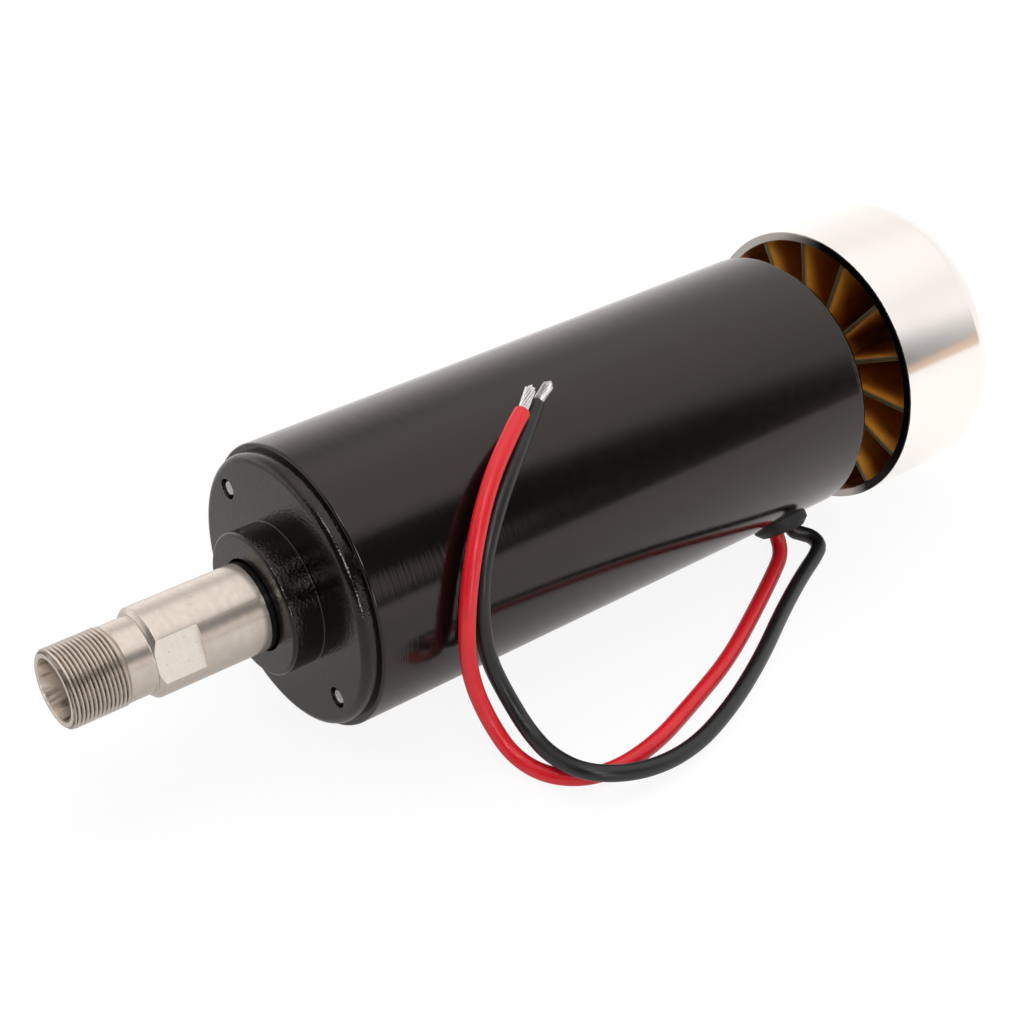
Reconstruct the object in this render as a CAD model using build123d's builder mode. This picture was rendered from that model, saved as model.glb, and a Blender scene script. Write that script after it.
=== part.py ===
"""Air-cooled brushed spindle motor with a taper-collet nose, lying on its side.

The spindle axis is the X axis.  The front face of the front cover stands at X = 0, the body reaches
towards +X and the nose towards -X.  +Z is up.  All lengths are millimetres and all angles degrees.
"""
from build123d import *

import os
from collections import namedtuple
from math import atan, cos, degrees, isclose, pi, radians, sin, tan

os.makedirs("parts", exist_ok=True)

# ---------------------------------------------------------------- clearances and fits
seat_gap = 0.01          # pressed or glued seats, radial
slip_gap = 0.03          # spigots and parts that slide together, radial
running_gap = 0.30       # between what turns and what stands still
ball_gap = 0.05          # round each ball in its groove and cage pocket
bolt_gap = 0.15          # round a screw in its hole, radial

# ---------------------------------------------------------------- casing
body_r = 26.0            # outside of the steel tube
tube_wall = 2.5
tube_length = 112.7
tube_edge = 0.5          # chamfer on the tube's ends
cover_step = 1.2         # covers' flanges below the tube's outside
cover_proud = 2.8        # how far the front cover stands out of the tube
cover_edge = 1.5         # rounding of the covers' rims
front_spigot = 10.6      # depth of the front cover inside the tube
rear_proud = 2.5
rear_spigot = 3.2
rear_hub_r = 13.5        # inner hub that holds the rear bearing
rear_hub_reach = 9.5     # how far that hub reaches into the tube
boss_r = 13.0
boss_length = 6.0
boss_edge = 0.6
pocket_floor = 2.0       # where the front bearing's pocket starts, behind the face

tube_bore_r = body_r - tube_wall
cover_rim_r = body_r - cover_step
tube_front_x = cover_proud
tube_rear_x = tube_front_x + tube_length
rear_face_x = tube_rear_x + rear_proud
spigot_r = tube_bore_r - slip_gap
rear_hub_x = tube_rear_x - rear_hub_reach

# ---------------------------------------------------------------- spindle shaft
shank_r = 8.0            # the 16 mm shank behind the nose
shank_reach = 22.1       # shank in front of the boss
shank_edge = 0.8
flat_width = 14.0        # across the spanner flats
flat_length = 8.4
flat_angle = 164.6
neck_r = 6.8
neck_length = 4.6
thread_r = 7.0           # M14 fine thread for the collet nut
thread_length = 10.7
thread_lead = 0.6
taper_mouth_r = 5.6
taper_angle = 8.0
taper_depth = 13.0
drill_r = 3.5
drill_depth = 26.0
drill_point = 59.0
front_seat_r = 6.0
core_seat_r = 5.5
rear_seat_r = 4.0
fan_seat_r = 3.0
fan_seat_start = 1.5     # behind the rear cover's face

shank_front_x = -boss_length - shank_reach
neck_front_x = shank_front_x - neck_length
nose_x = neck_front_x - thread_length

# ---------------------------------------------------------------- bearings
rear_bearing_sink = 0.5   # rear bearing behind the hub's inner face
Bearing = namedtuple("Bearing", "front_x width bore_r outer_r pitch_r ball_r balls land")
front_bearing = Bearing(
    front_x=pocket_floor, width=8.0, bore_r=front_seat_r, outer_r=14.0, pitch_r=10.0,
    ball_r=2.38, balls=8, land=1.7,
)
rear_bearing = Bearing(
    front_x=rear_hub_x + rear_bearing_sink, width=7.0, bore_r=rear_seat_r, outer_r=11.0, pitch_r=7.5,
    ball_r=1.98, balls=7, land=1.4,
)
cage_thickness = 1.0
cage_rim = 0.7
shield_thickness = 0.3
shield_inset = 0.2
circlip_thickness = 1.2
circlip_depth = 0.8
circlip_band = 1.6
circlip_mouth = 40.0
wave_washer_thickness = 1.0

front_bearing_rear_x = front_bearing.front_x + front_bearing.width
rear_bearing_rear_x = rear_bearing.front_x + rear_bearing.width
rear_pocket_end_x = rear_bearing_rear_x + wave_washer_thickness

# ---------------------------------------------------------------- tie bolts
bolt_inset = 3.1         # bolt axes inside the tube's bore
bolt_angle = 41.4
bolt_r = 1.5
bolt_head_r = 2.5
bolt_head_height = 3.0
bolt_head_sink = 3.2
bolt_socket = 2.5
bolt_socket_depth = 1.4
bolt_mouth_r = 1.9
bolt_mouth_depth = 1.0
bolt_end_sink = 0.3

bolt_circle_r = tube_bore_r - bolt_inset
bolt_seat_x = rear_face_x - bolt_head_sink

# ---------------------------------------------------------------- commutator and brushes
commutator_r = 9.5
commutator_length = 11.0
bars = 12
bar_height = 2.2
bar_gap = 0.5
riser_r = 11.2
riser_width = 1.8
brush_width = 5.0
brush_thickness = 4.0
brush_reach = 6.0        # brush axes in front of the plate
brush_gap = 0.05
brush_lift = 1.5         # how far a brush can be pushed back
holder_wall = 0.6
holder_gap = 0.05
holder_rise = 2.5        # holders' mouths above the commutator
holder_margin = 0.8      # holders' outer ends inside the plate's rim
holder_cap = 0.8
spring_wire_r = 0.2
spring_r = 1.4
spring_turns = 4
spring_length = 3.05
plate_thickness = 2.0
plate_bore_r = 12.0
plate_gap = 0.3
plate_notch_r = 7.0

plate_front_x = rear_hub_x - plate_thickness
plate_r = tube_bore_r - plate_gap
brush_x = plate_front_x - brush_reach
commutator_front_x = brush_x - (commutator_length + riser_width) / 2
holder_inner = commutator_r + holder_rise
holder_outer = plate_r - holder_margin
spring_end = holder_outer - holder_cap
brush_tip = commutator_r + brush_gap
brush_back = spring_end - spring_length
brush_length = brush_back - brush_tip

# ---------------------------------------------------------------- magnets and armature
magnet_wall = 4.6
magnet_span = 118.0
magnet_overhang = 7.0    # magnets past each end of the core
air_gap = 0.7
winding_to_cover = 8.6   # front winding behind the front cover
winding_to_commutator = 6.1
slots = 12
slot_root = 9.6
slot_root_r = 1.6
slot_depth = 4.8         # crowns of the slots below the core's outside
slot_crown_r = 2.5
slot_mouth = 2.0
insulator_thickness = 1.0
insulator_step = 0.8     # insulators below the core's outside
winding_gap = 0.25
winding_inner_r = 6.6
winding_step = 2.6
front_winding = 7.0
rear_winding = 8.5
winding_edge = 2.5

magnet_outer_r = tube_bore_r - seat_gap
magnet_inner_r = magnet_outer_r - magnet_wall
armature_r = magnet_inner_r - air_gap
slot_crown = armature_r - slot_depth
insulator_r = armature_r - insulator_step
winding_outer_r = armature_r - winding_step
core_front_x = cover_proud + front_spigot + winding_to_cover + front_winding + insulator_thickness
core_rear_x = commutator_front_x - winding_to_commutator - rear_winding - insulator_thickness
core_length = core_rear_x - core_front_x
magnet_front_x = core_front_x - magnet_overhang
magnet_length = core_length + 2 * magnet_overhang

# ---------------------------------------------------------------- fan wheel
fan_gap = 10.6           # between the tube's rear end and the cup's rim
cup_r = 28.0
cup_wall = 1.6
cup_length = 25.5
cup_corner = 5.0
cup_lip = 0.4
blades = 15
blade_phase = 82.1
blade_thickness = 1.2
blade_sink = 0.4         # blade edges behind the cup's rim
hub_r = 8.5
hub_rise = 3.0           # hub nose in front of the blades' roots
disc_thickness = 2.0
impeller_gap = 0.10
bush_r = 5.5
bush_front = 1.8         # bush behind the rear cover
rivet_r = 4.5
rivet_head_r = 6.0
rivet_head = 0.6
grub_r = 1.5
grub_length = 2.6
grub_angle = 60.0
grub_x_from_bush = 3.0

cup_front_x = tube_rear_x + fan_gap
cup_rear_x = cup_front_x + cup_length
cup_bore_r = cup_r - cup_wall
cup_floor_x = cup_rear_x - cup_wall
bush_front_x = rear_face_x + bush_front
impeller_r = cup_bore_r - impeller_gap

# ---------------------------------------------------------------- leads and their grommet
lead_r = 1.5
tip_r = 0.9
tip_length = 6.0
grommet_setback = 10.3    # grommet's axis in front of the tube's rear end
grommet_angle = -126.0
grommet_neck_r = 4.4
grommet_lip_r = 5.5
grommet_inner_r = 5.2
grommet_rise = 2.2
grommet_inner_lip = 1.4
grommet_edge = 1.2
lead_spread = 1.8        # leads either side of the grommet's axis

grommet_x = tube_rear_x - grommet_setback


def rims(part: Part, radius: float, station: float) -> ShapeList:
    """Circular edges of a radius about the spindle axis at a station along it."""
    circles = part.edges().filter_by(GeomType.CIRCLE)
    return circles.filter_by(
        lambda edge: isclose(edge.radius, radius, abs_tol=1e-3)
        and isclose(edge.arc_center.X, station, abs_tol=1e-3)
    )


def bend_radii(points: list) -> list:
    """Largest smooth bend at each inner point: 0.45 of its shorter run over the half turn's tangent."""
    corners = [Vector(*point) for point in points]
    radii = []
    for before, here, after in zip(corners, corners[1:], corners[2:]):
        arriving = here - before
        leaving = after - here
        half_turn = radians(arriving.get_angle(leaving)) / 2
        radii.append(0.45 * min(arriving.length, leaving.length) / tan(half_turn))
    return radii


# ================================================================ casing
grommet_out = Vector(0, cos(radians(grommet_angle)), sin(radians(grommet_angle)))


def grommet_plane(distance: float) -> Plane:
    """Plane square to the grommet's own axis at a distance from the spindle axis."""
    return Plane(
        origin=Vector(grommet_x, 0, 0) + grommet_out * distance,
        x_dir=(1, 0, 0),
        z_dir=grommet_out,
    )


with BuildPart() as housing_tube:
    with BuildSketch(Plane.YZ.offset(tube_front_x)):
        Circle(body_r)
        Circle(tube_bore_r, mode=Mode.SUBTRACT)
    extrude(amount=tube_length)
    chamfer(rims(housing_tube.part, body_r, tube_front_x), tube_edge)
    chamfer(rims(housing_tube.part, body_r, tube_rear_x), tube_edge)
    with BuildSketch(grommet_plane(0)):
        Circle(grommet_neck_r + seat_gap)
    extrude(amount=body_r + grommet_rise, mode=Mode.SUBTRACT)
housing_tube.part.label = "housing_tube"
export_step(housing_tube.part, "parts/housing_tube.step")

with BuildPart() as front_cover:
    with BuildSketch(Plane.YZ):
        Circle(cover_rim_r)
    extrude(amount=cover_proud)
    with BuildSketch(Plane.YZ.offset(cover_proud)):
        Circle(spigot_r)
    extrude(amount=front_spigot)
    with BuildSketch(Plane.YZ):
        Circle(boss_r)
    extrude(amount=-boss_length)
    fillet(rims(front_cover.part, cover_rim_r, 0), cover_edge)
    fillet(rims(front_cover.part, boss_r, -boss_length), boss_edge)
    with BuildSketch(Plane.YZ.offset(-boss_length)):
        Circle(shank_r + running_gap)
    extrude(amount=boss_length + cover_proud + front_spigot, mode=Mode.SUBTRACT)
    with BuildSketch(Plane.YZ.offset(front_bearing.front_x)):
        Circle(front_bearing.outer_r + seat_gap)
    extrude(amount=cover_proud + front_spigot, mode=Mode.SUBTRACT)
    with BuildSketch(Plane.YZ.offset(front_bearing_rear_x)):
        Circle(front_bearing.outer_r + circlip_depth)
    extrude(amount=circlip_thickness, mode=Mode.SUBTRACT)
    with BuildSketch(Plane.YZ):
        with PolarLocations(bolt_circle_r, 2, start_angle=bolt_angle):
            Circle(bolt_r + bolt_gap)
    extrude(amount=cover_proud + front_spigot, mode=Mode.SUBTRACT)
    with BuildSketch(Plane.YZ):
        with PolarLocations(bolt_circle_r, 2, start_angle=bolt_angle):
            Circle(bolt_mouth_r)
    extrude(amount=bolt_mouth_depth, mode=Mode.SUBTRACT)
front_cover.part.label = "front_cover"
export_step(front_cover.part, "parts/front_cover.step")

with BuildPart() as rear_cover:
    with BuildSketch(Plane.YZ.offset(tube_rear_x)):
        Circle(cover_rim_r)
    extrude(amount=rear_proud)
    with BuildSketch(Plane.YZ.offset(tube_rear_x)):
        Circle(spigot_r)
    extrude(amount=-rear_spigot)
    with BuildSketch(Plane.YZ.offset(tube_rear_x)):
        Circle(rear_hub_r)
    extrude(amount=-rear_hub_reach)
    fillet(rims(rear_cover.part, cover_rim_r, rear_face_x), cover_edge)
    with BuildSketch(Plane.YZ.offset(rear_hub_x)):
        Circle(rear_bearing.outer_r + seat_gap)
    extrude(amount=rear_pocket_end_x - rear_hub_x, mode=Mode.SUBTRACT)
    with BuildSketch(Plane.YZ.offset(rear_pocket_end_x)):
        Circle(rear_seat_r + running_gap)
    extrude(amount=rear_face_x - rear_pocket_end_x, mode=Mode.SUBTRACT)
    with BuildSketch(Plane.YZ.offset(rear_face_x)):
        with PolarLocations(bolt_circle_r, 2, start_angle=bolt_angle):
            Circle(bolt_r + bolt_gap)
    extrude(amount=-(rear_proud + rear_spigot), mode=Mode.SUBTRACT)
    with BuildSketch(Plane.YZ.offset(rear_face_x)):
        with PolarLocations(bolt_circle_r, 2, start_angle=bolt_angle):
            Circle(bolt_head_r + bolt_gap)
    extrude(amount=-bolt_head_sink, mode=Mode.SUBTRACT)
rear_cover.part.label = "rear_cover"
export_step(rear_cover.part, "parts/rear_cover.step")

with BuildPart() as tie_bolts:
    with BuildSketch(Plane.YZ.offset(bolt_seat_x)):
        with PolarLocations(bolt_circle_r, 2, start_angle=bolt_angle):
            Circle(bolt_head_r)
    extrude(amount=bolt_head_height)
    with BuildSketch(Plane.YZ.offset(bolt_seat_x)):
        with PolarLocations(bolt_circle_r, 2, start_angle=bolt_angle):
            Circle(bolt_r)
    extrude(amount=-(bolt_seat_x - bolt_end_sink))
    with BuildSketch(Plane.YZ.offset(bolt_seat_x + bolt_head_height)):
        with PolarLocations(bolt_circle_r, 2, start_angle=bolt_angle):
            RegularPolygon(bolt_socket / 2, 6, major_radius=False)
    extrude(amount=-bolt_socket_depth, mode=Mode.SUBTRACT)
tie_bolts.part.label = "tie_bolts"
export_step(tie_bolts.part, "parts/tie_bolts.step")

# ================================================================ spindle shaft
fan_seat_x = rear_face_x + fan_seat_start
shaft_end_x = cup_rear_x - cup_wall / 2
rear_shoulder_x = rear_bearing.front_x
taper_small_r = taper_mouth_r - taper_depth * tan(radians(taper_angle))
drill_end_x = nose_x + drill_depth
core_seat_x = front_bearing_rear_x + circlip_thickness + running_gap

with BuildPart() as spindle_shaft:
    with BuildSketch(Plane.XZ):
        with BuildLine():
            Polyline(
                (nose_x, 0),
                (nose_x, thread_r - thread_lead),
                (nose_x + thread_lead, thread_r),
                (neck_front_x, thread_r),
                (neck_front_x + thread_r - neck_r, neck_r),
                (shank_front_x, neck_r),
                (shank_front_x, shank_r - shank_edge),
                (shank_front_x + shank_edge, shank_r),
                (front_bearing.front_x, shank_r),
                (front_bearing.front_x, front_seat_r),
                (core_seat_x, front_seat_r),
                (core_seat_x, core_seat_r),
                (rear_shoulder_x, core_seat_r),
                (rear_shoulder_x, rear_seat_r),
                (fan_seat_x, rear_seat_r),
                (fan_seat_x, fan_seat_r),
                (shaft_end_x, fan_seat_r),
                (shaft_end_x, 0),
                close=True,
            )
        make_face()
    revolve(axis=Axis.X)
    with BuildSketch(Plane.XZ):
        with BuildLine():
            Polyline(
                (nose_x, 0),
                (nose_x, taper_mouth_r),
                (nose_x + taper_depth, taper_small_r),
                (nose_x + taper_depth, drill_r),
                (drill_end_x, drill_r),
                (drill_end_x + drill_r / tan(radians(drill_point)), 0),
                close=True,
            )
        make_face()
    revolve(axis=Axis.X, mode=Mode.SUBTRACT)
    with BuildSketch(Plane.YZ.offset(shank_front_x)):
        with PolarLocations(flat_width / 2 + shank_r / 2, 2, start_angle=flat_angle):
            Rectangle(shank_r, 3 * shank_r)
    extrude(amount=flat_length, mode=Mode.SUBTRACT)
spindle_shaft.part.label = "spindle_shaft"
export_step(spindle_shaft.part, "parts/spindle_shaft.step")

# ================================================================ bearings
for end, bearing in (("front", front_bearing), ("rear", rear_bearing)):
    middle_x = bearing.front_x + bearing.width / 2
    groove_r = bearing.ball_r + ball_gap
    outer_land_r = bearing.pitch_r + bearing.land
    inner_land_r = bearing.pitch_r - bearing.land
    shield_x = bearing.width / 2 - shield_inset - shield_thickness

    with BuildPart() as outer_ring:
        with BuildSketch(Plane.XZ):
            with Locations((middle_x, (bearing.outer_r + outer_land_r) / 2)):
                Rectangle(bearing.width, bearing.outer_r - outer_land_r)
            with Locations((middle_x, bearing.pitch_r)):
                Circle(groove_r, mode=Mode.SUBTRACT)
        revolve(axis=Axis.X)
    outer_ring.part.label = f"{end}_bearing_outer_ring"
    export_step(outer_ring.part, f"parts/{end}_bearing_outer_ring.step")

    with BuildPart() as inner_ring:
        with BuildSketch(Plane.XZ):
            with Locations((middle_x, (inner_land_r + bearing.bore_r + seat_gap) / 2)):
                Rectangle(bearing.width, inner_land_r - bearing.bore_r - seat_gap)
            with Locations((middle_x, bearing.pitch_r)):
                Circle(groove_r, mode=Mode.SUBTRACT)
        revolve(axis=Axis.X)
    inner_ring.part.label = f"{end}_bearing_inner_ring"
    export_step(inner_ring.part, f"parts/{end}_bearing_inner_ring.step")

    with BuildPart(Plane.YZ.offset(middle_x)) as balls:
        with PolarLocations(bearing.pitch_r, bearing.balls):
            Sphere(bearing.ball_r)
    balls.part.label = f"{end}_bearing_balls"
    export_step(balls.part, f"parts/{end}_bearing_balls.step")

    with BuildPart() as cage:
        with BuildSketch(Plane.YZ.offset(middle_x)):
            Circle(bearing.pitch_r + cage_thickness / 2)
            Circle(bearing.pitch_r - cage_thickness / 2, mode=Mode.SUBTRACT)
        extrude(amount=bearing.ball_r + cage_rim, both=True)
        for ball in range(bearing.balls):
            turn = radians(360 * ball / bearing.balls)
            with BuildSketch(Plane((middle_x, 0, 0), x_dir=(1, 0, 0), z_dir=(0, cos(turn), sin(turn)))):
                Circle(bearing.ball_r + ball_gap)
            extrude(amount=bearing.outer_r, mode=Mode.SUBTRACT)
    cage.part.label = f"{end}_bearing_cage"
    export_step(cage.part, f"parts/{end}_bearing_cage.step")

    with BuildPart() as shields:
        for side in (-1, 1):
            with BuildSketch(Plane.YZ.offset(middle_x + side * shield_x)):
                Circle(outer_land_r - seat_gap)
                Circle(inner_land_r + running_gap, mode=Mode.SUBTRACT)
            extrude(amount=side * shield_thickness)
    shields.part.label = f"{end}_bearing_shields"
    export_step(shields.part, f"parts/{end}_bearing_shields.step")

with BuildPart() as bearing_circlip:
    clip_outer_r = front_bearing.outer_r + circlip_depth - seat_gap
    clip_inner_r = front_bearing.outer_r - circlip_band
    with BuildSketch(Plane.YZ.offset(front_bearing_rear_x)):
        Circle(clip_outer_r)
        Circle(clip_inner_r, mode=Mode.SUBTRACT)
        with BuildLine():
            wide = 2 * clip_outer_r
            half = radians(circlip_mouth / 2)
            Polyline((0, 0), (wide, -wide * tan(half)), (wide, wide * tan(half)), close=True)
        make_face(mode=Mode.SUBTRACT)
    extrude(amount=circlip_thickness)
bearing_circlip.part.label = "bearing_circlip"
export_step(bearing_circlip.part, "parts/bearing_circlip.step")

with BuildPart() as wave_washer:
    with BuildSketch(Plane.YZ.offset(rear_bearing_rear_x)):
        Circle(rear_bearing.outer_r - seat_gap)
        Circle(rear_bearing.pitch_r + rear_bearing.land, mode=Mode.SUBTRACT)
    extrude(amount=wave_washer_thickness)
wave_washer.part.label = "wave_washer"
export_step(wave_washer.part, "parts/wave_washer.step")

# ================================================================ magnets and armature
for side, turn in (("upper", 90), ("lower", 270)):
    middle = bolt_angle + turn
    with BuildPart() as magnet:
        with BuildSketch(Plane.YZ.offset(magnet_front_x)):
            with BuildLine():
                outer_arc = CenterArc((0, 0), magnet_outer_r, middle - magnet_span / 2, magnet_span)
                inner_arc = CenterArc(
                    (0, 0), magnet_outer_r - magnet_wall, middle - magnet_span / 2, magnet_span
                )
                Line(outer_arc @ 0, inner_arc @ 0)
                Line(outer_arc @ 1, inner_arc @ 1)
            make_face()
        extrude(amount=magnet_length)
    magnet.part.label = f"magnet_{side}"
    export_step(magnet.part, f"parts/magnet_{side}.step")

with BuildPart() as armature_core:
    with BuildSketch(Plane.YZ.offset(core_front_x)):
        Circle(armature_r)
        Circle(core_seat_r + seat_gap, mode=Mode.SUBTRACT)
        with PolarLocations(slot_root, slots):
            Circle(slot_root_r, mode=Mode.SUBTRACT)
        with PolarLocations(slot_crown, slots):
            Circle(slot_crown_r, mode=Mode.SUBTRACT)
        with PolarLocations((slot_root + slot_crown) / 2, slots):
            Trapezoid(
                2 * slot_crown_r, slot_crown - slot_root,
                degrees(atan((slot_crown - slot_root) / (slot_crown_r - slot_root_r))),
                rotation=90, mode=Mode.SUBTRACT,
            )
        with PolarLocations((slot_crown + armature_r) / 2 + 1, slots):
            Rectangle(armature_r - slot_crown + 2, slot_mouth, mode=Mode.SUBTRACT)
    extrude(amount=core_length)
armature_core.part.label = "armature_core"
export_step(armature_core.part, "parts/armature_core.step")

with BuildPart() as armature_insulators:
    for station, way in ((core_front_x, -1), (core_rear_x, 1)):
        with BuildSketch(Plane.YZ.offset(station)):
            Circle(insulator_r)
            Circle(core_seat_r + seat_gap, mode=Mode.SUBTRACT)
            with PolarLocations(slot_root, slots):
                Circle(slot_root_r, mode=Mode.SUBTRACT)
            with PolarLocations(slot_crown, slots):
                Circle(slot_crown_r, mode=Mode.SUBTRACT)
        extrude(amount=way * insulator_thickness)
armature_insulators.part.label = "armature_insulators"
export_step(armature_insulators.part, "parts/armature_insulators.step")

front_winding_x = core_front_x - insulator_thickness
rear_winding_x = core_rear_x + insulator_thickness
with BuildPart() as armature_windings:
    for station, reach in ((front_winding_x, -front_winding), (rear_winding_x, rear_winding)):
        with BuildSketch(Plane.YZ.offset(station)):
            Circle(winding_outer_r)
            Circle(winding_inner_r, mode=Mode.SUBTRACT)
        extrude(amount=reach)
        fillet(rims(armature_windings.part, winding_outer_r, station + reach), winding_edge)
    with BuildSketch(Plane.YZ.offset(front_winding_x)):
        with PolarLocations(slot_root, slots):
            Circle(slot_root_r - winding_gap)
        with PolarLocations(slot_crown, slots):
            Circle(slot_crown_r - winding_gap)
    extrude(amount=rear_winding_x - front_winding_x)
armature_windings.part.label = "armature_windings"
export_step(armature_windings.part, "parts/armature_windings.step")

# ================================================================ commutator and brushes
with BuildPart() as commutator_hub:
    with BuildSketch(Plane.YZ.offset(commutator_front_x)):
        Circle(commutator_r - bar_height - seat_gap)
        Circle(core_seat_r + seat_gap, mode=Mode.SUBTRACT)
    extrude(amount=commutator_length)
commutator_hub.part.label = "commutator_hub"
export_step(commutator_hub.part, "parts/commutator_hub.step")

with BuildPart() as commutator_bars:
    with BuildSketch(Plane.YZ.offset(commutator_front_x)):
        Circle(commutator_r)
        Circle(commutator_r - bar_height, mode=Mode.SUBTRACT)
        with PolarLocations(commutator_r, bars):
            Rectangle(3 * bar_height, bar_gap, mode=Mode.SUBTRACT)
    extrude(amount=commutator_length)
    with BuildSketch(Plane.YZ.offset(commutator_front_x)):
        Circle(riser_r)
        Circle(commutator_r - bar_height / 2, mode=Mode.SUBTRACT)
        with PolarLocations(commutator_r, bars):
            Rectangle(3 * bar_height, bar_gap, mode=Mode.SUBTRACT)
    extrude(amount=riser_width)
commutator_bars.part.label = "commutator_bars"
export_step(commutator_bars.part, "parts/commutator_bars.step")

with BuildPart() as brush_plate:
    with BuildSketch(Plane.YZ.offset(plate_front_x)):
        Circle(plate_r)
        Circle(plate_bore_r, mode=Mode.SUBTRACT)
        with PolarLocations(bolt_circle_r, 2, start_angle=bolt_angle):
            Circle(bolt_r + bolt_gap, mode=Mode.SUBTRACT)
        with PolarLocations(tube_bore_r, 1, start_angle=grommet_angle):
            Circle(plate_notch_r, mode=Mode.SUBTRACT)
    extrude(amount=plate_thickness)
brush_plate.part.label = "brush_plate"
export_step(brush_plate.part, "parts/brush_plate.step")

for side, way in (("upper", 1), ("lower", -1)):
    with BuildPart() as brush_holder:
        holder_front_x = brush_x - brush_thickness / 2 - holder_gap - holder_wall
        with BuildSketch(Plane.XY.offset(way * holder_inner)):
            with Locations(((holder_front_x + plate_front_x) / 2, 0)):
                Rectangle(plate_front_x - holder_front_x, brush_width + 2 * (holder_gap + holder_wall))
        extrude(amount=way * (holder_outer - holder_inner))
        with BuildSketch(Plane.XY.offset(way * holder_inner)):
            with Locations((brush_x, 0)):
                Rectangle(brush_thickness + 2 * holder_gap, brush_width + 2 * holder_gap)
        extrude(amount=way * (spring_end - holder_inner), mode=Mode.SUBTRACT)
    brush_holder.part.label = f"brush_holder_{side}"
    export_step(brush_holder.part, f"parts/brush_holder_{side}.step")

    with BuildPart() as brush:
        with BuildSketch(Plane.XY.offset(way * brush_back)):
            with Locations((brush_x, 0)):
                Rectangle(brush_thickness, brush_width)
        extrude(amount=-way * (brush_length + commutator_r / 2))
        with BuildSketch(Plane.YZ.offset(brush_x)):
            Circle(brush_tip)
        extrude(amount=brush_thickness, both=True, mode=Mode.SUBTRACT)
    brush.part.label = f"brush_{side}"
    export_step(brush.part, f"parts/brush_{side}.step")

    with BuildPart() as brush_spring:
        spring_room = spring_end - brush_back - 2 * spring_wire_r - 2 * seat_gap
        with BuildLine() as coil:
            Helix(
                spring_room / spring_turns, spring_room, spring_r,
                center=(brush_x, 0, way * (brush_back + spring_wire_r + seat_gap)),
                direction=(0, 0, way),
            )
        with BuildSketch(Plane(origin=coil.line @ 0, z_dir=coil.line % 0)):
            Circle(spring_wire_r)
        sweep()
    brush_spring.part.label = f"brush_spring_{side}"
    export_step(brush_spring.part, f"parts/brush_spring_{side}.step")

# ================================================================ fan wheel
with BuildPart() as fan_cup:
    with BuildSketch(Plane.YZ.offset(cup_front_x)):
        Circle(cup_r)
    extrude(amount=cup_length)
    fillet(rims(fan_cup.part, cup_r, cup_rear_x), cup_corner)
    with BuildSketch(Plane.YZ.offset(cup_front_x)):
        Circle(cup_bore_r)
    extrude(amount=cup_length - cup_wall, mode=Mode.SUBTRACT)
    fillet(rims(fan_cup.part, cup_bore_r, cup_floor_x), cup_corner - cup_wall)
    fillet(rims(fan_cup.part, cup_r, cup_front_x), cup_lip)
    with BuildSketch(Plane.YZ.offset(cup_floor_x)):
        Circle(rivet_r + seat_gap)
    extrude(amount=cup_wall, mode=Mode.SUBTRACT)
fan_cup.part.label = "fan_cup"
export_step(fan_cup.part, "parts/fan_cup.step")

with BuildPart() as impeller_room:
    with BuildSketch(Plane.YZ.offset(cup_front_x + blade_sink)):
        Circle(impeller_r)
    extrude(amount=cup_floor_x - cup_front_x - blade_sink)
    fillet(rims(impeller_room.part, impeller_r, cup_floor_x), cup_corner - cup_wall)

with BuildPart() as fan_impeller:
    disc_x = cup_floor_x - disc_thickness
    with BuildSketch(Plane.YZ.offset(cup_front_x + blade_sink)):
        with PolarLocations((hub_r + impeller_r) / 2, blades, start_angle=blade_phase):
            Rectangle(impeller_r - hub_r + 2, blade_thickness)
    extrude(amount=cup_floor_x - cup_front_x - blade_sink)
    with BuildSketch(Plane.YZ.offset(disc_x)):
        Circle(impeller_r)
    extrude(amount=disc_thickness)
    with BuildSketch(Plane.YZ.offset(cup_front_x + hub_rise)):
        Circle(hub_r)
    extrude(amount=cup_floor_x - cup_front_x - hub_rise)
    add(impeller_room.part, mode=Mode.INTERSECT)
    with BuildSketch(Plane.YZ.offset(cup_front_x)):
        Circle(bush_r + seat_gap)
    extrude(amount=cup_length, mode=Mode.SUBTRACT)
fan_impeller.part.label = "fan_impeller"
export_step(fan_impeller.part, "parts/fan_impeller.step")

with BuildPart() as fan_bush:
    with BuildSketch(Plane.YZ.offset(bush_front_x)):
        Circle(bush_r)
    extrude(amount=cup_floor_x - bush_front_x)
    with BuildSketch(Plane.YZ.offset(cup_floor_x)):
        Circle(rivet_r)
    extrude(amount=cup_wall)
    with BuildSketch(Plane.YZ.offset(cup_rear_x)):
        Circle(rivet_head_r)
    extrude(amount=rivet_head)
    with BuildSketch(Plane.YZ.offset(bush_front_x)):
        Circle(fan_seat_r + seat_gap)
    extrude(amount=cup_rear_x + rivet_head - bush_front_x, mode=Mode.SUBTRACT)
    grub_way = Vector(0, cos(radians(grub_angle)), sin(radians(grub_angle)))
    with BuildSketch(Plane(origin=(bush_front_x + grub_x_from_bush, 0, 0), x_dir=(1, 0, 0), z_dir=grub_way)):
        Circle(grub_r + seat_gap)
    extrude(amount=bush_r, mode=Mode.SUBTRACT)
fan_bush.part.label = "fan_bush"
export_step(fan_bush.part, "parts/fan_bush.step")

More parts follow.
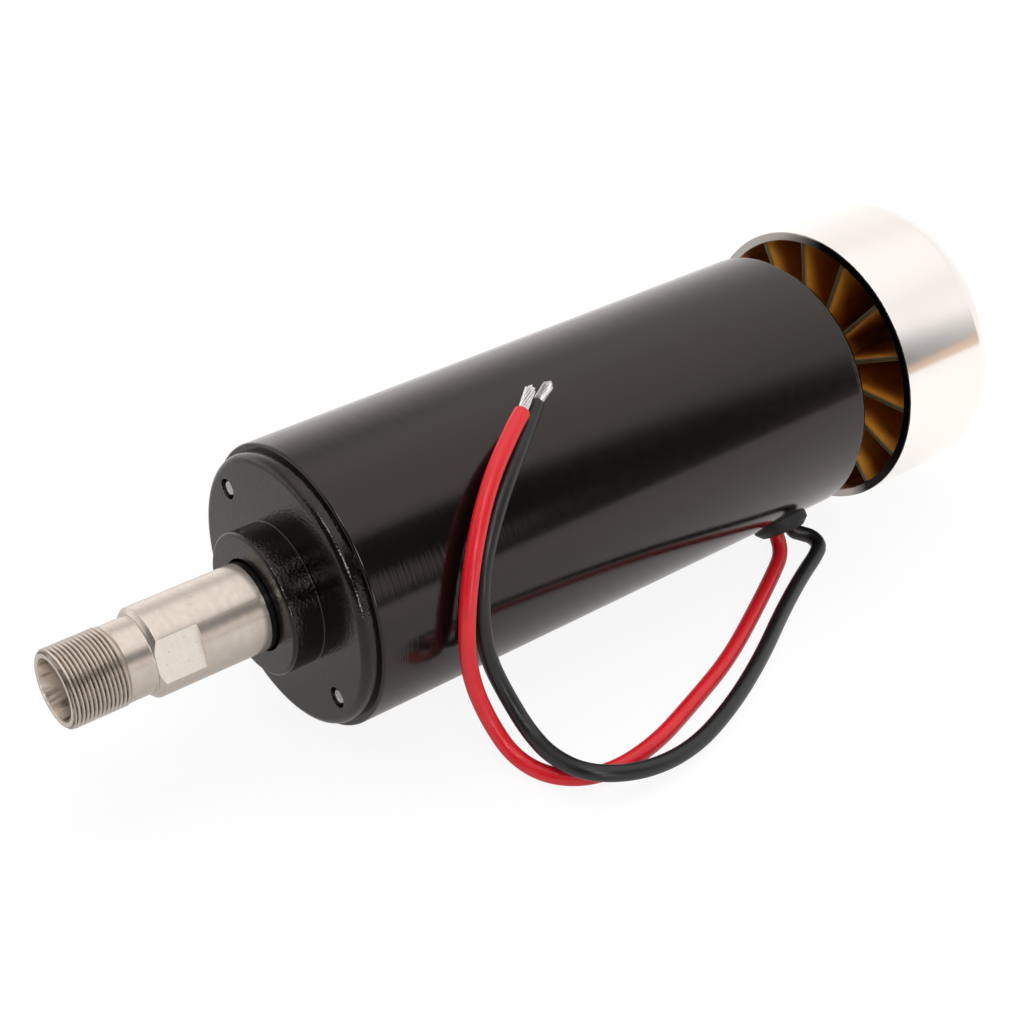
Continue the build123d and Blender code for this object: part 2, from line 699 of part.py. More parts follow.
with BuildPart() as fan_grub_screw:
    grub_plane = Plane(
        origin=Vector(bush_front_x + grub_x_from_bush, 0, 0) + grub_way * (fan_seat_r + slip_gap),
        x_dir=(1, 0, 0),
        z_dir=grub_way,
    )
    with BuildSketch(grub_plane):
        Circle(grub_r)
    extrude(amount=grub_length)
    with BuildSketch(grub_plane.offset(grub_length)):
        RegularPolygon(grub_r / 2, 6, major_radius=False)
    extrude(amount=-grub_length / 2, mode=Mode.SUBTRACT)
fan_grub_screw.part.label = "fan_grub_screw"
export_step(fan_grub_screw.part, "parts/fan_grub_screw.step")

# ================================================================ grommet and leads
with BuildPart() as grommet_outer_lip:
    with BuildSketch(grommet_plane(tube_bore_r)):
        Circle(grommet_lip_r)
    extrude(amount=tube_wall + grommet_rise)
    chamfer(grommet_outer_lip.edges().filter_by(GeomType.CIRCLE).sort_by(
        lambda edge: edge.arc_center.dot(grommet_out))[-1], grommet_edge)
    with BuildSketch(Plane.YZ.offset(grommet_x)):
        Circle(body_r + seat_gap)
    extrude(amount=2 * grommet_lip_r, both=True, mode=Mode.SUBTRACT)

with BuildPart() as cable_grommet:
    with BuildSketch(grommet_plane(tube_bore_r - grommet_inner_lip)):
        Circle(grommet_inner_r)
    extrude(amount=tube_wall)
    with BuildSketch(Plane.YZ.offset(grommet_x)):
        Circle(tube_bore_r - seat_gap)
    extrude(amount=2 * grommet_lip_r, both=True, mode=Mode.INTERSECT)
    with BuildSketch(grommet_plane(tube_bore_r - grommet_inner_lip)):
        Circle(grommet_neck_r)
    extrude(amount=tube_wall + grommet_inner_lip + grommet_rise / 2)
    add(grommet_outer_lip.part)
    with BuildSketch(grommet_plane(tube_bore_r - grommet_inner_lip)):
        with Locations((-lead_spread, 0), (lead_spread, 0)):
            Circle(lead_r + slip_gap)
    extrude(amount=body_r, mode=Mode.SUBTRACT)
cable_grommet.part.label = "cable_grommet"
export_step(cable_grommet.part, "parts/cable_grommet.step")

red_route = [
    (103.4, -14.1, -19.4), (103.4, -16.9, -23.3), (101.8, -19.6, -25.4), (96.6, -22.8, -25.9),
    (85.0, -29.7, -25.7), (70.0, -38.1, -25.5), (56.0, -43.6, -25.3), (43.0, -48.4, -25.0),
    (31.0, -49.5, -24.8), (23.6, -44.9, -24.7), (21.2, -36.9, -24.3), (19.6, -31.5, -18.0),
    (17.6, -29.4, -9.0), (17.2, -29.4, 1.5), (20.8, -26.9, 12.4), (28.4, -21.7, 20.9),
    (37.6, -16.2, 26.2), (43.0, -12.9, 27.8),
]
black_route = [
    (107.0, -14.1, -19.4), (107.0, -16.9, -23.3), (109.4, -18.5, -23.8), (111.4, -20.4, -24.2),
    (110.8, -23.0, -24.9), (107.2, -24.2, -25.6), (100.4, -26.8, -26.0), (89.0, -33.0, -25.8),
    (75.0, -41.5, -25.6), (61.0, -48.6, -25.3), (47.5, -53.4, -25.0), (35.4, -54.4, -23.2),
    (26.0, -51.2, -21.0), (24.0, -43.6, -21.1), (24.4, -36.6, -20.0), (23.8, -31.4, -15.0),
    (22.0, -28.9, -8.0), (21.0, -28.5, 0.8), (23.3, -26.5, 10.0), (30.4, -22.3, 18.0),
    (40.6, -16.4, 23.8), (46.6, -12.8, 25.8),
]
for colour, route in (("red", red_route), ("black", black_route)):
    radii = bend_radii(route)
    with BuildPart() as lead:
        with BuildLine() as lead_path:
            FilletPolyline(*route, radius=radii)
        with BuildSketch(Plane(origin=lead_path.line @ 0, z_dir=lead_path.line % 0)):
            Circle(lead_r)
        sweep()
    lead.part.label = f"{colour}_lead"
    export_step(lead.part, f"parts/{colour}_lead.step")
    path_length = sum(edge.length for edge in lead_path.edges())
    expected = path_length * pi * lead_r ** 2
    print(f"{colour} lead: path {path_length:.1f} mm, volume {lead.part.volume:.1f} of {expected:.1f}")
    print("  bend radii", " ".join(f"{radius:.1f}" for radius in radii))

    with BuildPart() as tip:
        with BuildSketch(Plane(origin=lead_path.line @ 1, z_dir=lead_path.line % 1)):
            Circle(tip_r)
        extrude(amount=tip_length)
    tip.part.label = f"{colour}_tip"
    export_step(tip.part, f"parts/{colour}_tip.step")
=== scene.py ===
"""Looks of an air-cooled motor spindle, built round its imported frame.

The spindle axis is X, the nose points to -X and +Z is up.  Sizes in the classes are millimetres and become
metres where a mesh is made.
"""

import logging
import math
from dataclasses import dataclass, field
from enum import Enum
from typing import Any, Callable, ClassVar, Sequence

import bpy
from mathutils import Matrix, Vector


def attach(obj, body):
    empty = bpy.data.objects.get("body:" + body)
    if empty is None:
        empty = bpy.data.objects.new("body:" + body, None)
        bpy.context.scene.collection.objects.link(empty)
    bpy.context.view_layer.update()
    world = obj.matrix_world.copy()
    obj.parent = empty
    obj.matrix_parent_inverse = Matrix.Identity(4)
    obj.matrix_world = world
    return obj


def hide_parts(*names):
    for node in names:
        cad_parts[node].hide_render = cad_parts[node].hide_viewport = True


MM = 0.001
AXIS = Vector((1, 0, 0))     # the spindle axis, towards the rear
TOUCH = 1e-6                 # metres within which two points count as one
CUT_TOUCH = 1e-7             # and within which a point counts as on a cutting plane
SHARP_ANGLE = 40.0           # degrees over which an edge is sharp enough to be broken
EDGE = 0.08                  # millimetres by which a deburred edge is broken
FINE_EDGE = 0.05             # and by which a small piece's is
log = logging.getLogger("spindle")
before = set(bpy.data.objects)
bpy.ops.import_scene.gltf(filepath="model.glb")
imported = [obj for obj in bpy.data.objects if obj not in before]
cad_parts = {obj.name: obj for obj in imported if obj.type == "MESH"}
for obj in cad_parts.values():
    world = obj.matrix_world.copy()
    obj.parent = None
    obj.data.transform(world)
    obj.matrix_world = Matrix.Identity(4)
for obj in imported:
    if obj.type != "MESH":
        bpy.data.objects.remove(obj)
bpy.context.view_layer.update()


# ------------------------------------------------------------------------------------------- bench
class Solver(Enum):
    """What a tool solid does to the piece that it meets."""

    CUT = "DIFFERENCE"
    KEEP = "INTERSECT"


@dataclass(frozen=True)
class Corner:
    """A corner of an outline that is turned round the spindle axis, with its rounding."""

    x: float
    r: float
    rounding: float = 0.0
    steps: int = 6


def isolate(piece: bpy.types.Object | None = None) -> None:
    """Leaves edit mode, deselects everything and picks one piece.

    Args:
        piece: the piece to pick, or None to leave nothing picked.
    """
    if bpy.context.object and bpy.context.object.mode != "OBJECT":
        bpy.ops.object.mode_set(mode="OBJECT")
    bpy.ops.object.select_all(action="DESELECT")
    if piece:
        piece.select_set(True)
        bpy.context.view_layer.objects.active = piece


def named(name: str) -> bpy.types.Object:
    """Gives the piece that was just added its name.

    Args:
        name: the name of the piece and of its mesh.

    Returns:
        The piece.
    """
    piece = bpy.context.object
    piece.name = piece.data.name = name
    return piece


def pick_points(piece: bpy.types.Object, wanted: Callable[[Vector], bool]) -> None:
    """Selects, in edit mode, the points of a piece whose place passes a test.

    Args:
        piece: the piece that is being edited.
        wanted: says whether the point at a place, in metres, is picked.
    """
    bpy.ops.object.mode_set(mode="EDIT")
    bpy.ops.mesh.select_mode(type="VERT")
    bpy.ops.mesh.select_all(action="DESELECT")
    bpy.ops.object.mode_set(mode="OBJECT")
    for point in piece.data.vertices:
        point.select = wanted(point.co)
    bpy.ops.object.mode_set(mode="EDIT")


def draw_outline(name: str, outline: Sequence[Corner], closed: bool) -> bpy.types.Object:
    """Draws an outline in the XZ plane as a chain of edges, then rounds its corners.

    Args:
        name: the piece's name.
        outline: the corners in order.
        closed: whether the last corner joins the first.

    Returns:
        The outline, in edit mode.
    """
    isolate()
    bpy.ops.mesh.primitive_plane_add(size=MM)
    piece = named(name)
    bpy.ops.object.mode_set(mode="EDIT")
    bpy.ops.mesh.select_all(action="SELECT")
    bpy.ops.mesh.merge(type="CENTER")
    bpy.ops.transform.translate(value=(outline[0].x * MM, 0, outline[0].r * MM))
    for here, there in zip(outline, outline[1:]):
        step = ((there.x - here.x) * MM, 0, (there.r - here.r) * MM)
        bpy.ops.mesh.extrude_region_move(TRANSFORM_OT_translate={"value": step})
    if closed:
        ends = [Vector((corner.x * MM, 0, corner.r * MM)) for corner in (outline[0], outline[-1])]
        pick_points(piece, lambda place: any((place - end).length < TOUCH for end in ends))
        bpy.ops.mesh.edge_face_add()
    for corner in outline:
        if corner.rounding:
            spot = Vector((corner.x * MM, 0, corner.r * MM))
            pick_points(piece, lambda place: (place - spot).length < TOUCH)
            bpy.ops.mesh.bevel(offset=corner.rounding * MM, segments=corner.steps, affect="VERTICES")
    return piece


def close_shell(piece: bpy.types.Object) -> None:
    """Merges doubled points and turns all faces outwards.

    Args:
        piece: the piece to close.
    """
    isolate(piece)
    bpy.ops.object.mode_set(mode="EDIT")
    bpy.ops.mesh.select_all(action="SELECT")
    bpy.ops.mesh.remove_doubles(threshold=TOUCH)
    bpy.ops.mesh.normals_make_consistent(inside=False)
    bpy.ops.object.mode_set(mode="OBJECT")


def turn(name: str, outline: Sequence[Corner], closed: bool = True, steps: int = 160) -> bpy.types.Object:
    """Turns an outline round the spindle axis.

    Args:
        name: the piece's name.
        outline: the corners in order.
        closed: whether the outline is a ring, or runs from the axis to the axis.
        steps: facets round the axis.

    Returns:
        The turned piece.
    """
    piece = draw_outline(name, outline, closed)
    bpy.ops.mesh.select_all(action="SELECT")
    bpy.ops.mesh.spin(steps=steps, angle=math.tau, center=(0, 0, 0), axis=(1, 0, 0), use_auto_merge=True)
    close_shell(piece)
    return piece


def rod(name: str, start: Vector, way: Vector, length: float, radius: float,
        sides: int = 48) -> bpy.types.Object:
    """Makes a plain rod, used as a blank or a cutting tool.

    Args:
        name: the piece's name.
        start: the centre of its first end, in millimetres.
        way: the direction in which it runs.
        length: its length in millimetres.
        radius: its radius in millimetres.
        sides: facets round it.

    Returns:
        The rod.
    """
    isolate()
    turned = way.to_track_quat("Z", "Y").to_euler()
    middle = (start + way.normalized() * length / 2) * MM
    bpy.ops.mesh.primitive_cylinder_add(
        vertices=sides, radius=radius * MM, depth=length * MM, location=middle, rotation=turned
    )
    piece = named(name)
    bpy.ops.object.transform_apply(location=True, rotation=True, scale=True)
    return piece


def work(piece: bpy.types.Object, tool: bpy.types.Object, way: Solver = Solver.CUT) -> None:
    """Cuts a piece with a tool solid, or keeps what the two share, and clears the tool away.

    Args:
        piece: the piece that is worked on.
        tool: the solid that works on it.
        way: what the tool does.
    """
    modifier = piece.modifiers.new("work", "BOOLEAN")
    modifier.operation = way.value
    modifier.solver = "EXACT"
    modifier.object = tool
    isolate(piece)
    bpy.ops.object.modifier_apply(modifier=modifier.name)
    bpy.data.objects.remove(tool)


def copies(piece: bpy.types.Object, count: int, turn_by: float) -> list[bpy.types.Object]:
    """Copies a piece round the spindle axis, each copy with its own mesh.

    Args:
        piece: the first of the set.
        count: how many there are in all.
        turn_by: degrees between one and the next.

    Returns:
        The whole set, the first included.
    """
    made = [piece]
    for index in range(1, count):
        copy = piece.copy()
        copy.data = piece.data.copy()
        bpy.context.collection.objects.link(copy)
        copy.data.transform(Matrix.Rotation(math.radians(turn_by * index), 4, "X"))
        made.append(copy)
    return made


def joined(name: str, pieces: Sequence[bpy.types.Object]) -> bpy.types.Object:
    """Joins pieces into one object.

    Args:
        name: the name of the whole.
        pieces: what is joined.

    Returns:
        The whole.
    """
    isolate(pieces[0])
    for piece in pieces:
        piece.select_set(True)
    bpy.ops.object.join()
    return named(name)


def soften(piece: bpy.types.Object, edge: float = 0.0, smooth_below: float = 32.0) -> None:
    """Breaks sharp edges and evens the shading.

    Args:
        piece: the piece to finish.
        edge: width of the broken edge in millimetres, 0 for none.
        smooth_below: degrees under which two faces shade as one surface.
    """
    isolate(piece)
    if edge:
        modifier = piece.modifiers.new("edge", "BEVEL")
        modifier.width = edge * MM
        modifier.segments = 2
        modifier.limit_method = "ANGLE"
        modifier.angle_limit = math.radians(SHARP_ANGLE)
        bpy.ops.object.modifier_apply(modifier=modifier.name)
    bpy.ops.object.shade_smooth_by_angle(angle=math.radians(smooth_below))
    modifier = piece.modifiers.new("even", "WEIGHTED_NORMAL")
    modifier.keep_sharp = True
    bpy.ops.object.modifier_apply(modifier=modifier.name)


def radial(angle: float) -> Vector:
    """Direction square to the spindle axis at an angle from +Y, in degrees."""
    return Vector((0, math.cos(math.radians(angle)), math.sin(math.radians(angle))))


# ------------------------------------------------------------------------------------------- finishes
def colour(code: str) -> tuple[float, float, float, float]:
    """Turns an sRGB hex colour to linear light.

    Args:
        code: the colour, such as #1a1a1a.

    Returns:
        Linear red, green and blue, with an alpha of 1.
    """
    parts = [int(code[at:at + 2], 16) / 255 for at in (1, 3, 5)]
    return tuple([c / 12.92 if c <= 0.04045 else ((c + 0.055) / 1.055) ** 2.4 for c in parts] + [1.0])


def add(tree: bpy.types.NodeTree, kind: str, settings: dict[str, Any],
        feeds: dict[Any, Any]) -> bpy.types.Node:
    """Adds a node, sets it and feeds its sockets.

    Args:
        tree: the node tree.
        kind: the node's type, without its Shader prefix.
        settings: properties of the node.
        feeds: sockets by name or number, each with a value or with the output that is linked to it.

    Returns:
        The node.
    """
    node = tree.nodes.new("ShaderNode" + kind)
    for key, value in settings.items():
        setattr(node, key, value)
    for key, value in feeds.items():
        if isinstance(value, bpy.types.NodeSocket):
            tree.links.new(value, node.inputs[key])
        else:
            node.inputs[key].default_value = value
    return node


def per(size: float) -> float:
    """Scale of a noise whose patches are about this many millimetres wide."""
    return 1.0 / (size * MM)


@dataclass(frozen=True)
class Finish:
    """A finish that can be put on a piece."""

    shelf: ClassVar[dict[str, bpy.types.Material]] = {}
    name: str

    def coat(self, tree: bpy.types.NodeTree, shader: bpy.types.Node, place: bpy.types.NodeSocket) -> None:
        """Dresses the shader, in each kind of finish in its own way.

        Args:
            tree: the material's nodes.
            shader: the shader that is dressed.
            place: Object coordinates.
        """
        raise NotImplementedError

    def material(self) -> bpy.types.Material:
        """Makes the finish's material on its first use, and keeps it for the next.

        Returns:
            The material.
        """
        if self.name in self.shelf:
            return self.shelf[self.name]
        made = self.shelf[self.name] = bpy.data.materials.new(self.name)
        made.use_nodes = True
        tree = made.node_tree
        tree.nodes.clear()
        shader = add(tree, "BsdfPrincipled", {}, {})
        add(tree, "OutputMaterial", {}, {"Surface": shader.outputs["BSDF"]})
        self.coat(tree, shader, add(tree, "TexCoord", {}, {}).outputs["Object"])
        return made

    def put_on(self, piece: bpy.types.Object) -> None:
        """Makes this the only finish of a piece."""
        piece.data.materials.clear()
        piece.data.materials.append(self.material())


@dataclass(frozen=True)
class StoveEnamel(Finish):
    """Black stove enamel sprayed on turned steel: deep black, high gloss, a fine orange peel."""

    dark: str = "#060505"
    light: str = "#0e0c0b"
    cloud: float = 9.0             # where the coat is thicker the black is deeper, in patches of 9 mm
    roughness: float = 0.14
    duller: float = 0.03           # how far the gloss wanders each way, in patches of 1.6 mm
    brighter: float = 0.02
    gloss_patch: float = 1.6
    gloss_span: tuple[float, float] = (0.3, 0.7)   # levels of the noise that count as its ends
    peel: float = 0.7              # orange peel, about 0.7 mm from hump to hump
    peel_height: float = 0.0012
    turning: float = 0.5           # turning lines that show through, drawn twice as wide as they are
    turning_height: float = 0.02
    round_scale: float = 0.05      # each line runs round the axis for twenty times its width
    turning_from: float = 45.0     # the marks fade from here to the rear, where the tool was fresh
    turning_to: float = 20.0
    turning_left: float = 0.12
    sheen: tuple[float, float, float, float] = (1.0, 0.94, 0.9, 1.0)   # the gloss is faintly warm
    index: float = 1.5

    def coat(self, tree: bpy.types.NodeTree, shader: bpy.types.Node, place: bpy.types.NodeSocket) -> None:
        """Lays the enamel's colour, gloss, orange peel and turning lines.

        Args:
            tree: the material's nodes.
            shader: the shader that is dressed.
            place: Object coordinates.
        """
        cloud = add(tree, "TexNoise", {}, {
            "Vector": place, "Scale": per(self.cloud), "Detail": 4.0, "Roughness": 0.6,
        })
        tint = add(tree, "Mix", {"data_type": "RGBA"}, {
            0: cloud.outputs["Fac"], 6: colour(self.dark), 7: colour(self.light),
        })
        fine = add(tree, "TexNoise", {}, {"Vector": place, "Scale": per(self.gloss_patch), "Detail": 5.0})
        gloss = add(tree, "MapRange", {}, {
            "Value": fine.outputs["Fac"], "From Min": self.gloss_span[0], "From Max": self.gloss_span[1],
            "To Min": self.roughness - self.brighter, "To Max": self.roughness + self.duller,
        })
        stretched = add(tree, "Mapping", {"vector_type": "POINT"}, {
            "Vector": place, "Scale": (1.0, self.round_scale, self.round_scale),
        })
        lines = add(tree, "TexNoise", {}, {
            "Vector": stretched.outputs["Vector"], "Scale": per(self.turning), "Detail": 2.0,
        })
        station = add(tree, "SeparateXYZ", {}, {"Vector": place})
        worn = add(tree, "MapRange", {}, {
            "Value": station.outputs["X"], "From Min": self.turning_from * MM,
            "From Max": self.turning_to * MM, "To Min": self.turning_left, "To Max": 1.0,
        })
        marks = add(tree, "Math", {"operation": "MULTIPLY"}, {
            0: lines.outputs["Fac"], 1: worn.outputs["Result"],
        })
        peel = add(tree, "TexNoise", {}, {"Vector": place, "Scale": per(self.peel), "Detail": 2.0})
        first = add(tree, "Bump", {}, {
            "Strength": 1.0, "Distance": self.turning_height * MM, "Height": marks.outputs[0],
        })
        second = add(tree, "Bump", {}, {
            "Strength": 1.0, "Distance": self.peel_height * MM, "Height": peel.outputs["Fac"],
            "Normal": first.outputs["Normal"],
        })
        tree.links.new(tint.outputs[2], shader.inputs["Base Color"])
        tree.links.new(gloss.outputs["Result"], shader.inputs["Roughness"])
        tree.links.new(second.outputs["Normal"], shader.inputs["Normal"])
        shader.inputs["IOR"].default_value = self.index
        shader.inputs["Specular Tint"].default_value = self.sheen


@dataclass(frozen=True)
class TurnedSteel(Finish):
    """Turned and ground steel: satin metal, warm, with drawn-out highlights and fine lines round it."""

    dark: str = "#c4b8ad"
    light: str = "#e2d9d0"
    metallic: float = 0.84         # short of 1, because oil and fine scratches lift the dark parts
    roughness: float = 0.25
    wander: float = 0.02           # how far the gloss wanders each way
    drawn: float = 0.4             # how far the lines draw highlights out
    round_scale: float = 0.03      # a line runs round the axis for about thirty times its width
    band: float = 1.2              # bands of the tool's feed, in millimetres
    band_share: float = 0.7
    blot: float = 1.4              # handling marks
    tint_span: tuple[float, float] = (0.1, 1.45)   # levels of bands and blots that give the two tints
    line: float = 0.10             # tool marks of the last pass, about 0.1 mm apart
    line_height: float = 0.0009
    speck: float = 0.35            # small pits and dirt
    speck_tint: str = "#4a3f36"
    pit_depth: float = 0.01
    pit_span: tuple[float, float] = (0.72, 0.76)   # only the noise's peaks are pits
    pit_wear: float = 0.5
    thread_end: float = -33.4      # painted shade darkens the thread's roots, up to this station
    root_r: float = 6.60
    crest_r: float = 6.82
    inner_r: float = 6.4           # under this radius is the bore's wall, which is no thread
    root_shade: str = "#3a2e24"
    root_shade_span: tuple[float, float] = (0.32, 0.62)   # levels of the blots between which the painted shade deepens
    root_shade_least: float = 0.35
    mouth_r: float = 5.55          # oil is smeared in the taper, within this radius and to this station
    taper_end: float = -16.0
    smear: float = 1.5
    smear_scale: float = 0.25      # a smear runs along the axis for four times its width
    smear_span: tuple[float, float] = (0.52, 0.66)
    smear_most: float = 0.8
    oil: str = "#4f463e"
    dark_band_from: float = -7.15      # the shank is coloured near-black and not metallic from here to the next station, a dark band in front of the boss
    dark_band_to: float = 2.0
    dark_band_tint: str = "#080707"

    def coat(self, tree: bpy.types.NodeTree, shader: bpy.types.Node, place: bpy.types.NodeSocket) -> None:
        """Lays the metal's tint, tool marks and pits, then the painted shade in the thread's roots, the oil
        and the dark band by the boss.

        Args:
            tree: the material's nodes.
            shader: the shader that is dressed.
            place: Object coordinates.
        """
        stretched = add(tree, "Mapping", {"vector_type": "POINT"}, {
            "Vector": place, "Scale": (1.0, self.round_scale, self.round_scale),
        })
        bands = add(tree, "TexNoise", {}, {
            "Vector": stretched.outputs["Vector"], "Scale": per(self.band), "Detail": 6.0, "Roughness": 0.7,
        })
        lines = add(tree, "TexNoise", {}, {
            "Vector": stretched.outputs["Vector"], "Scale": per(self.line), "Detail": 2.0,
        })
        blots = add(tree, "TexNoise", {}, {
            "Vector": place, "Scale": per(self.blot), "Detail": 6.0, "Roughness": 0.7,
        })
        pits = add(tree, "TexNoise", {}, {"Vector": place, "Scale": per(self.speck), "Detail": 2.0})
        both = add(tree, "Math", {"operation": "MULTIPLY_ADD"}, {
            0: bands.outputs["Fac"], 1: self.band_share, 2: blots.outputs["Fac"],
        })
        spread = add(tree, "MapRange", {}, {
            "Value": both.outputs[0], "From Min": self.tint_span[0], "From Max": self.tint_span[1],
        })
        tint = add(tree, "Mix", {"data_type": "RGBA"}, {
            0: spread.outputs["Result"], 6: colour(self.dark), 7: colour(self.light),
        })
        pit = add(tree, "MapRange", {}, {
            "Value": pits.outputs["Fac"], "From Min": self.pit_span[0], "From Max": self.pit_span[1],
        })
        dirt = add(tree, "Mix", {"data_type": "RGBA"}, {
            0: pit.outputs["Result"], 6: tint.outputs[2], 7: colour(self.speck_tint),
        })
        station = add(tree, "SeparateXYZ", {}, {"Vector": place})
        across = add(tree, "Mapping", {"vector_type": "POINT"}, {"Vector": place, "Scale": (0.0, 1.0, 1.0)})
        reach = add(tree, "VectorMath", {"operation": "LENGTH"}, {0: across.outputs["Vector"]})
        root = add(tree, "MapRange", {}, {
            "Value": reach.outputs["Value"], "From Min": self.crest_r * MM, "From Max": self.root_r * MM,
        })
        outside = add(tree, "Math", {"operation": "GREATER_THAN"}, {
            0: reach.outputs["Value"], 1: self.inner_r * MM,
        })
        threaded = add(tree, "Math", {"operation": "LESS_THAN"}, {
            0: station.outputs["X"], 1: self.thread_end * MM,
        })
        shade_patches = add(tree, "MapRange", {}, {
            "Value": blots.outputs["Fac"], "From Min": self.root_shade_span[0], "From Max": self.root_shade_span[1],
            "To Min": self.root_shade_least, "To Max": 1.0,
        })
        # painted shade: the colour darkens with depth into the thread's roots, in patches
        root_shade = root.outputs["Result"]
        for share in (outside.outputs[0], threaded.outputs[0], shade_patches.outputs["Result"]):
            root_shade = add(tree, "Math", {"operation": "MULTIPLY"}, {0: root_shade, 1: share}).outputs[0]
        drawn_in = add(tree, "Mapping", {"vector_type": "POINT"}, {
            "Vector": place, "Scale": (self.smear_scale, 1.0, 1.0),
        })
        smears = add(tree, "TexNoise", {}, {
            "Vector": drawn_in.outputs["Vector"], "Scale": per(self.smear), "Detail": 5.0,
        })
        smear = add(tree, "MapRange", {}, {
            "Value": smears.outputs["Fac"], "From Min": self.smear_span[0],
            "From Max": self.smear_span[1], "To Max": self.smear_most,
        })
        in_bore = add(tree, "Math", {"operation": "LESS_THAN"}, {
            0: reach.outputs["Value"], 1: self.mouth_r * MM,
        })
        in_nose = add(tree, "Math", {"operation": "LESS_THAN"}, {
            0: station.outputs["X"], 1: self.taper_end * MM,
        })
        in_taper = add(tree, "Math", {"operation": "MULTIPLY"}, {0: in_bore.outputs[0], 1: in_nose.outputs[0]})
        oiled = add(tree, "Math", {"operation": "MULTIPLY"}, {
            0: in_taper.outputs[0], 1: smear.outputs["Result"],
        })
        mouth = add(tree, "Mix", {"data_type": "RGBA"}, {
            0: oiled.outputs[0], 6: dirt.outputs[2], 7: colour(self.oil),
        })
        root_shaded = add(tree, "Mix", {"data_type": "RGBA"}, {
            0: root_shade, 6: mouth.outputs[2], 7: colour(self.root_shade),
        })
        # the shank turns near-black and loses its metal between these two stations, next to the boss
        near_boss = add(tree, "Math", {"operation": "GREATER_THAN"}, {
            0: station.outputs["X"], 1: self.dark_band_from * MM,
        })
        before_bearing = add(tree, "Math", {"operation": "LESS_THAN"}, {
            0: station.outputs["X"], 1: self.dark_band_to * MM,
        })
        dark_band = add(tree, "Math", {"operation": "MULTIPLY"}, {
            0: near_boss.outputs[0], 1: before_bearing.outputs[0],
        })
        banded = add(tree, "Mix", {"data_type": "RGBA"}, {
            0: dark_band.outputs[0], 6: root_shaded.outputs[2], 7: colour(self.dark_band_tint),
        })
        bare = add(tree, "MapRange", {}, {"Value": dark_band.outputs[0], "To Min": self.metallic, "To Max": 0.0})
        gloss = add(tree, "MapRange", {}, {
            "Value": spread.outputs["Result"], "To Min": self.roughness + self.wander,
            "To Max": self.roughness - self.wander,
        })
        bump = add(tree, "Bump", {}, {
            "Strength": 1.0, "Distance": self.line_height * MM, "Height": lines.outputs["Fac"],
        })
        wear = add(tree, "Bump", {"invert": True}, {
            "Strength": self.pit_wear, "Distance": self.pit_depth * MM, "Height": pit.outputs["Result"],
            "Normal": bump.outputs["Normal"],
        })
        along = add(tree, "Tangent", {"direction_type": "RADIAL", "axis": "X"}, {})
        tree.links.new(banded.outputs[2], shader.inputs["Base Color"])
        tree.links.new(bare.outputs["Result"], shader.inputs["Metallic"])
        tree.links.new(gloss.outputs["Result"], shader.inputs["Roughness"])
        tree.links.new(wear.outputs["Normal"], shader.inputs["Normal"])
        tree.links.new(along.outputs["Tangent"], shader.inputs["Tangent"])
        shader.inputs["Anisotropic"].default_value = self.drawn


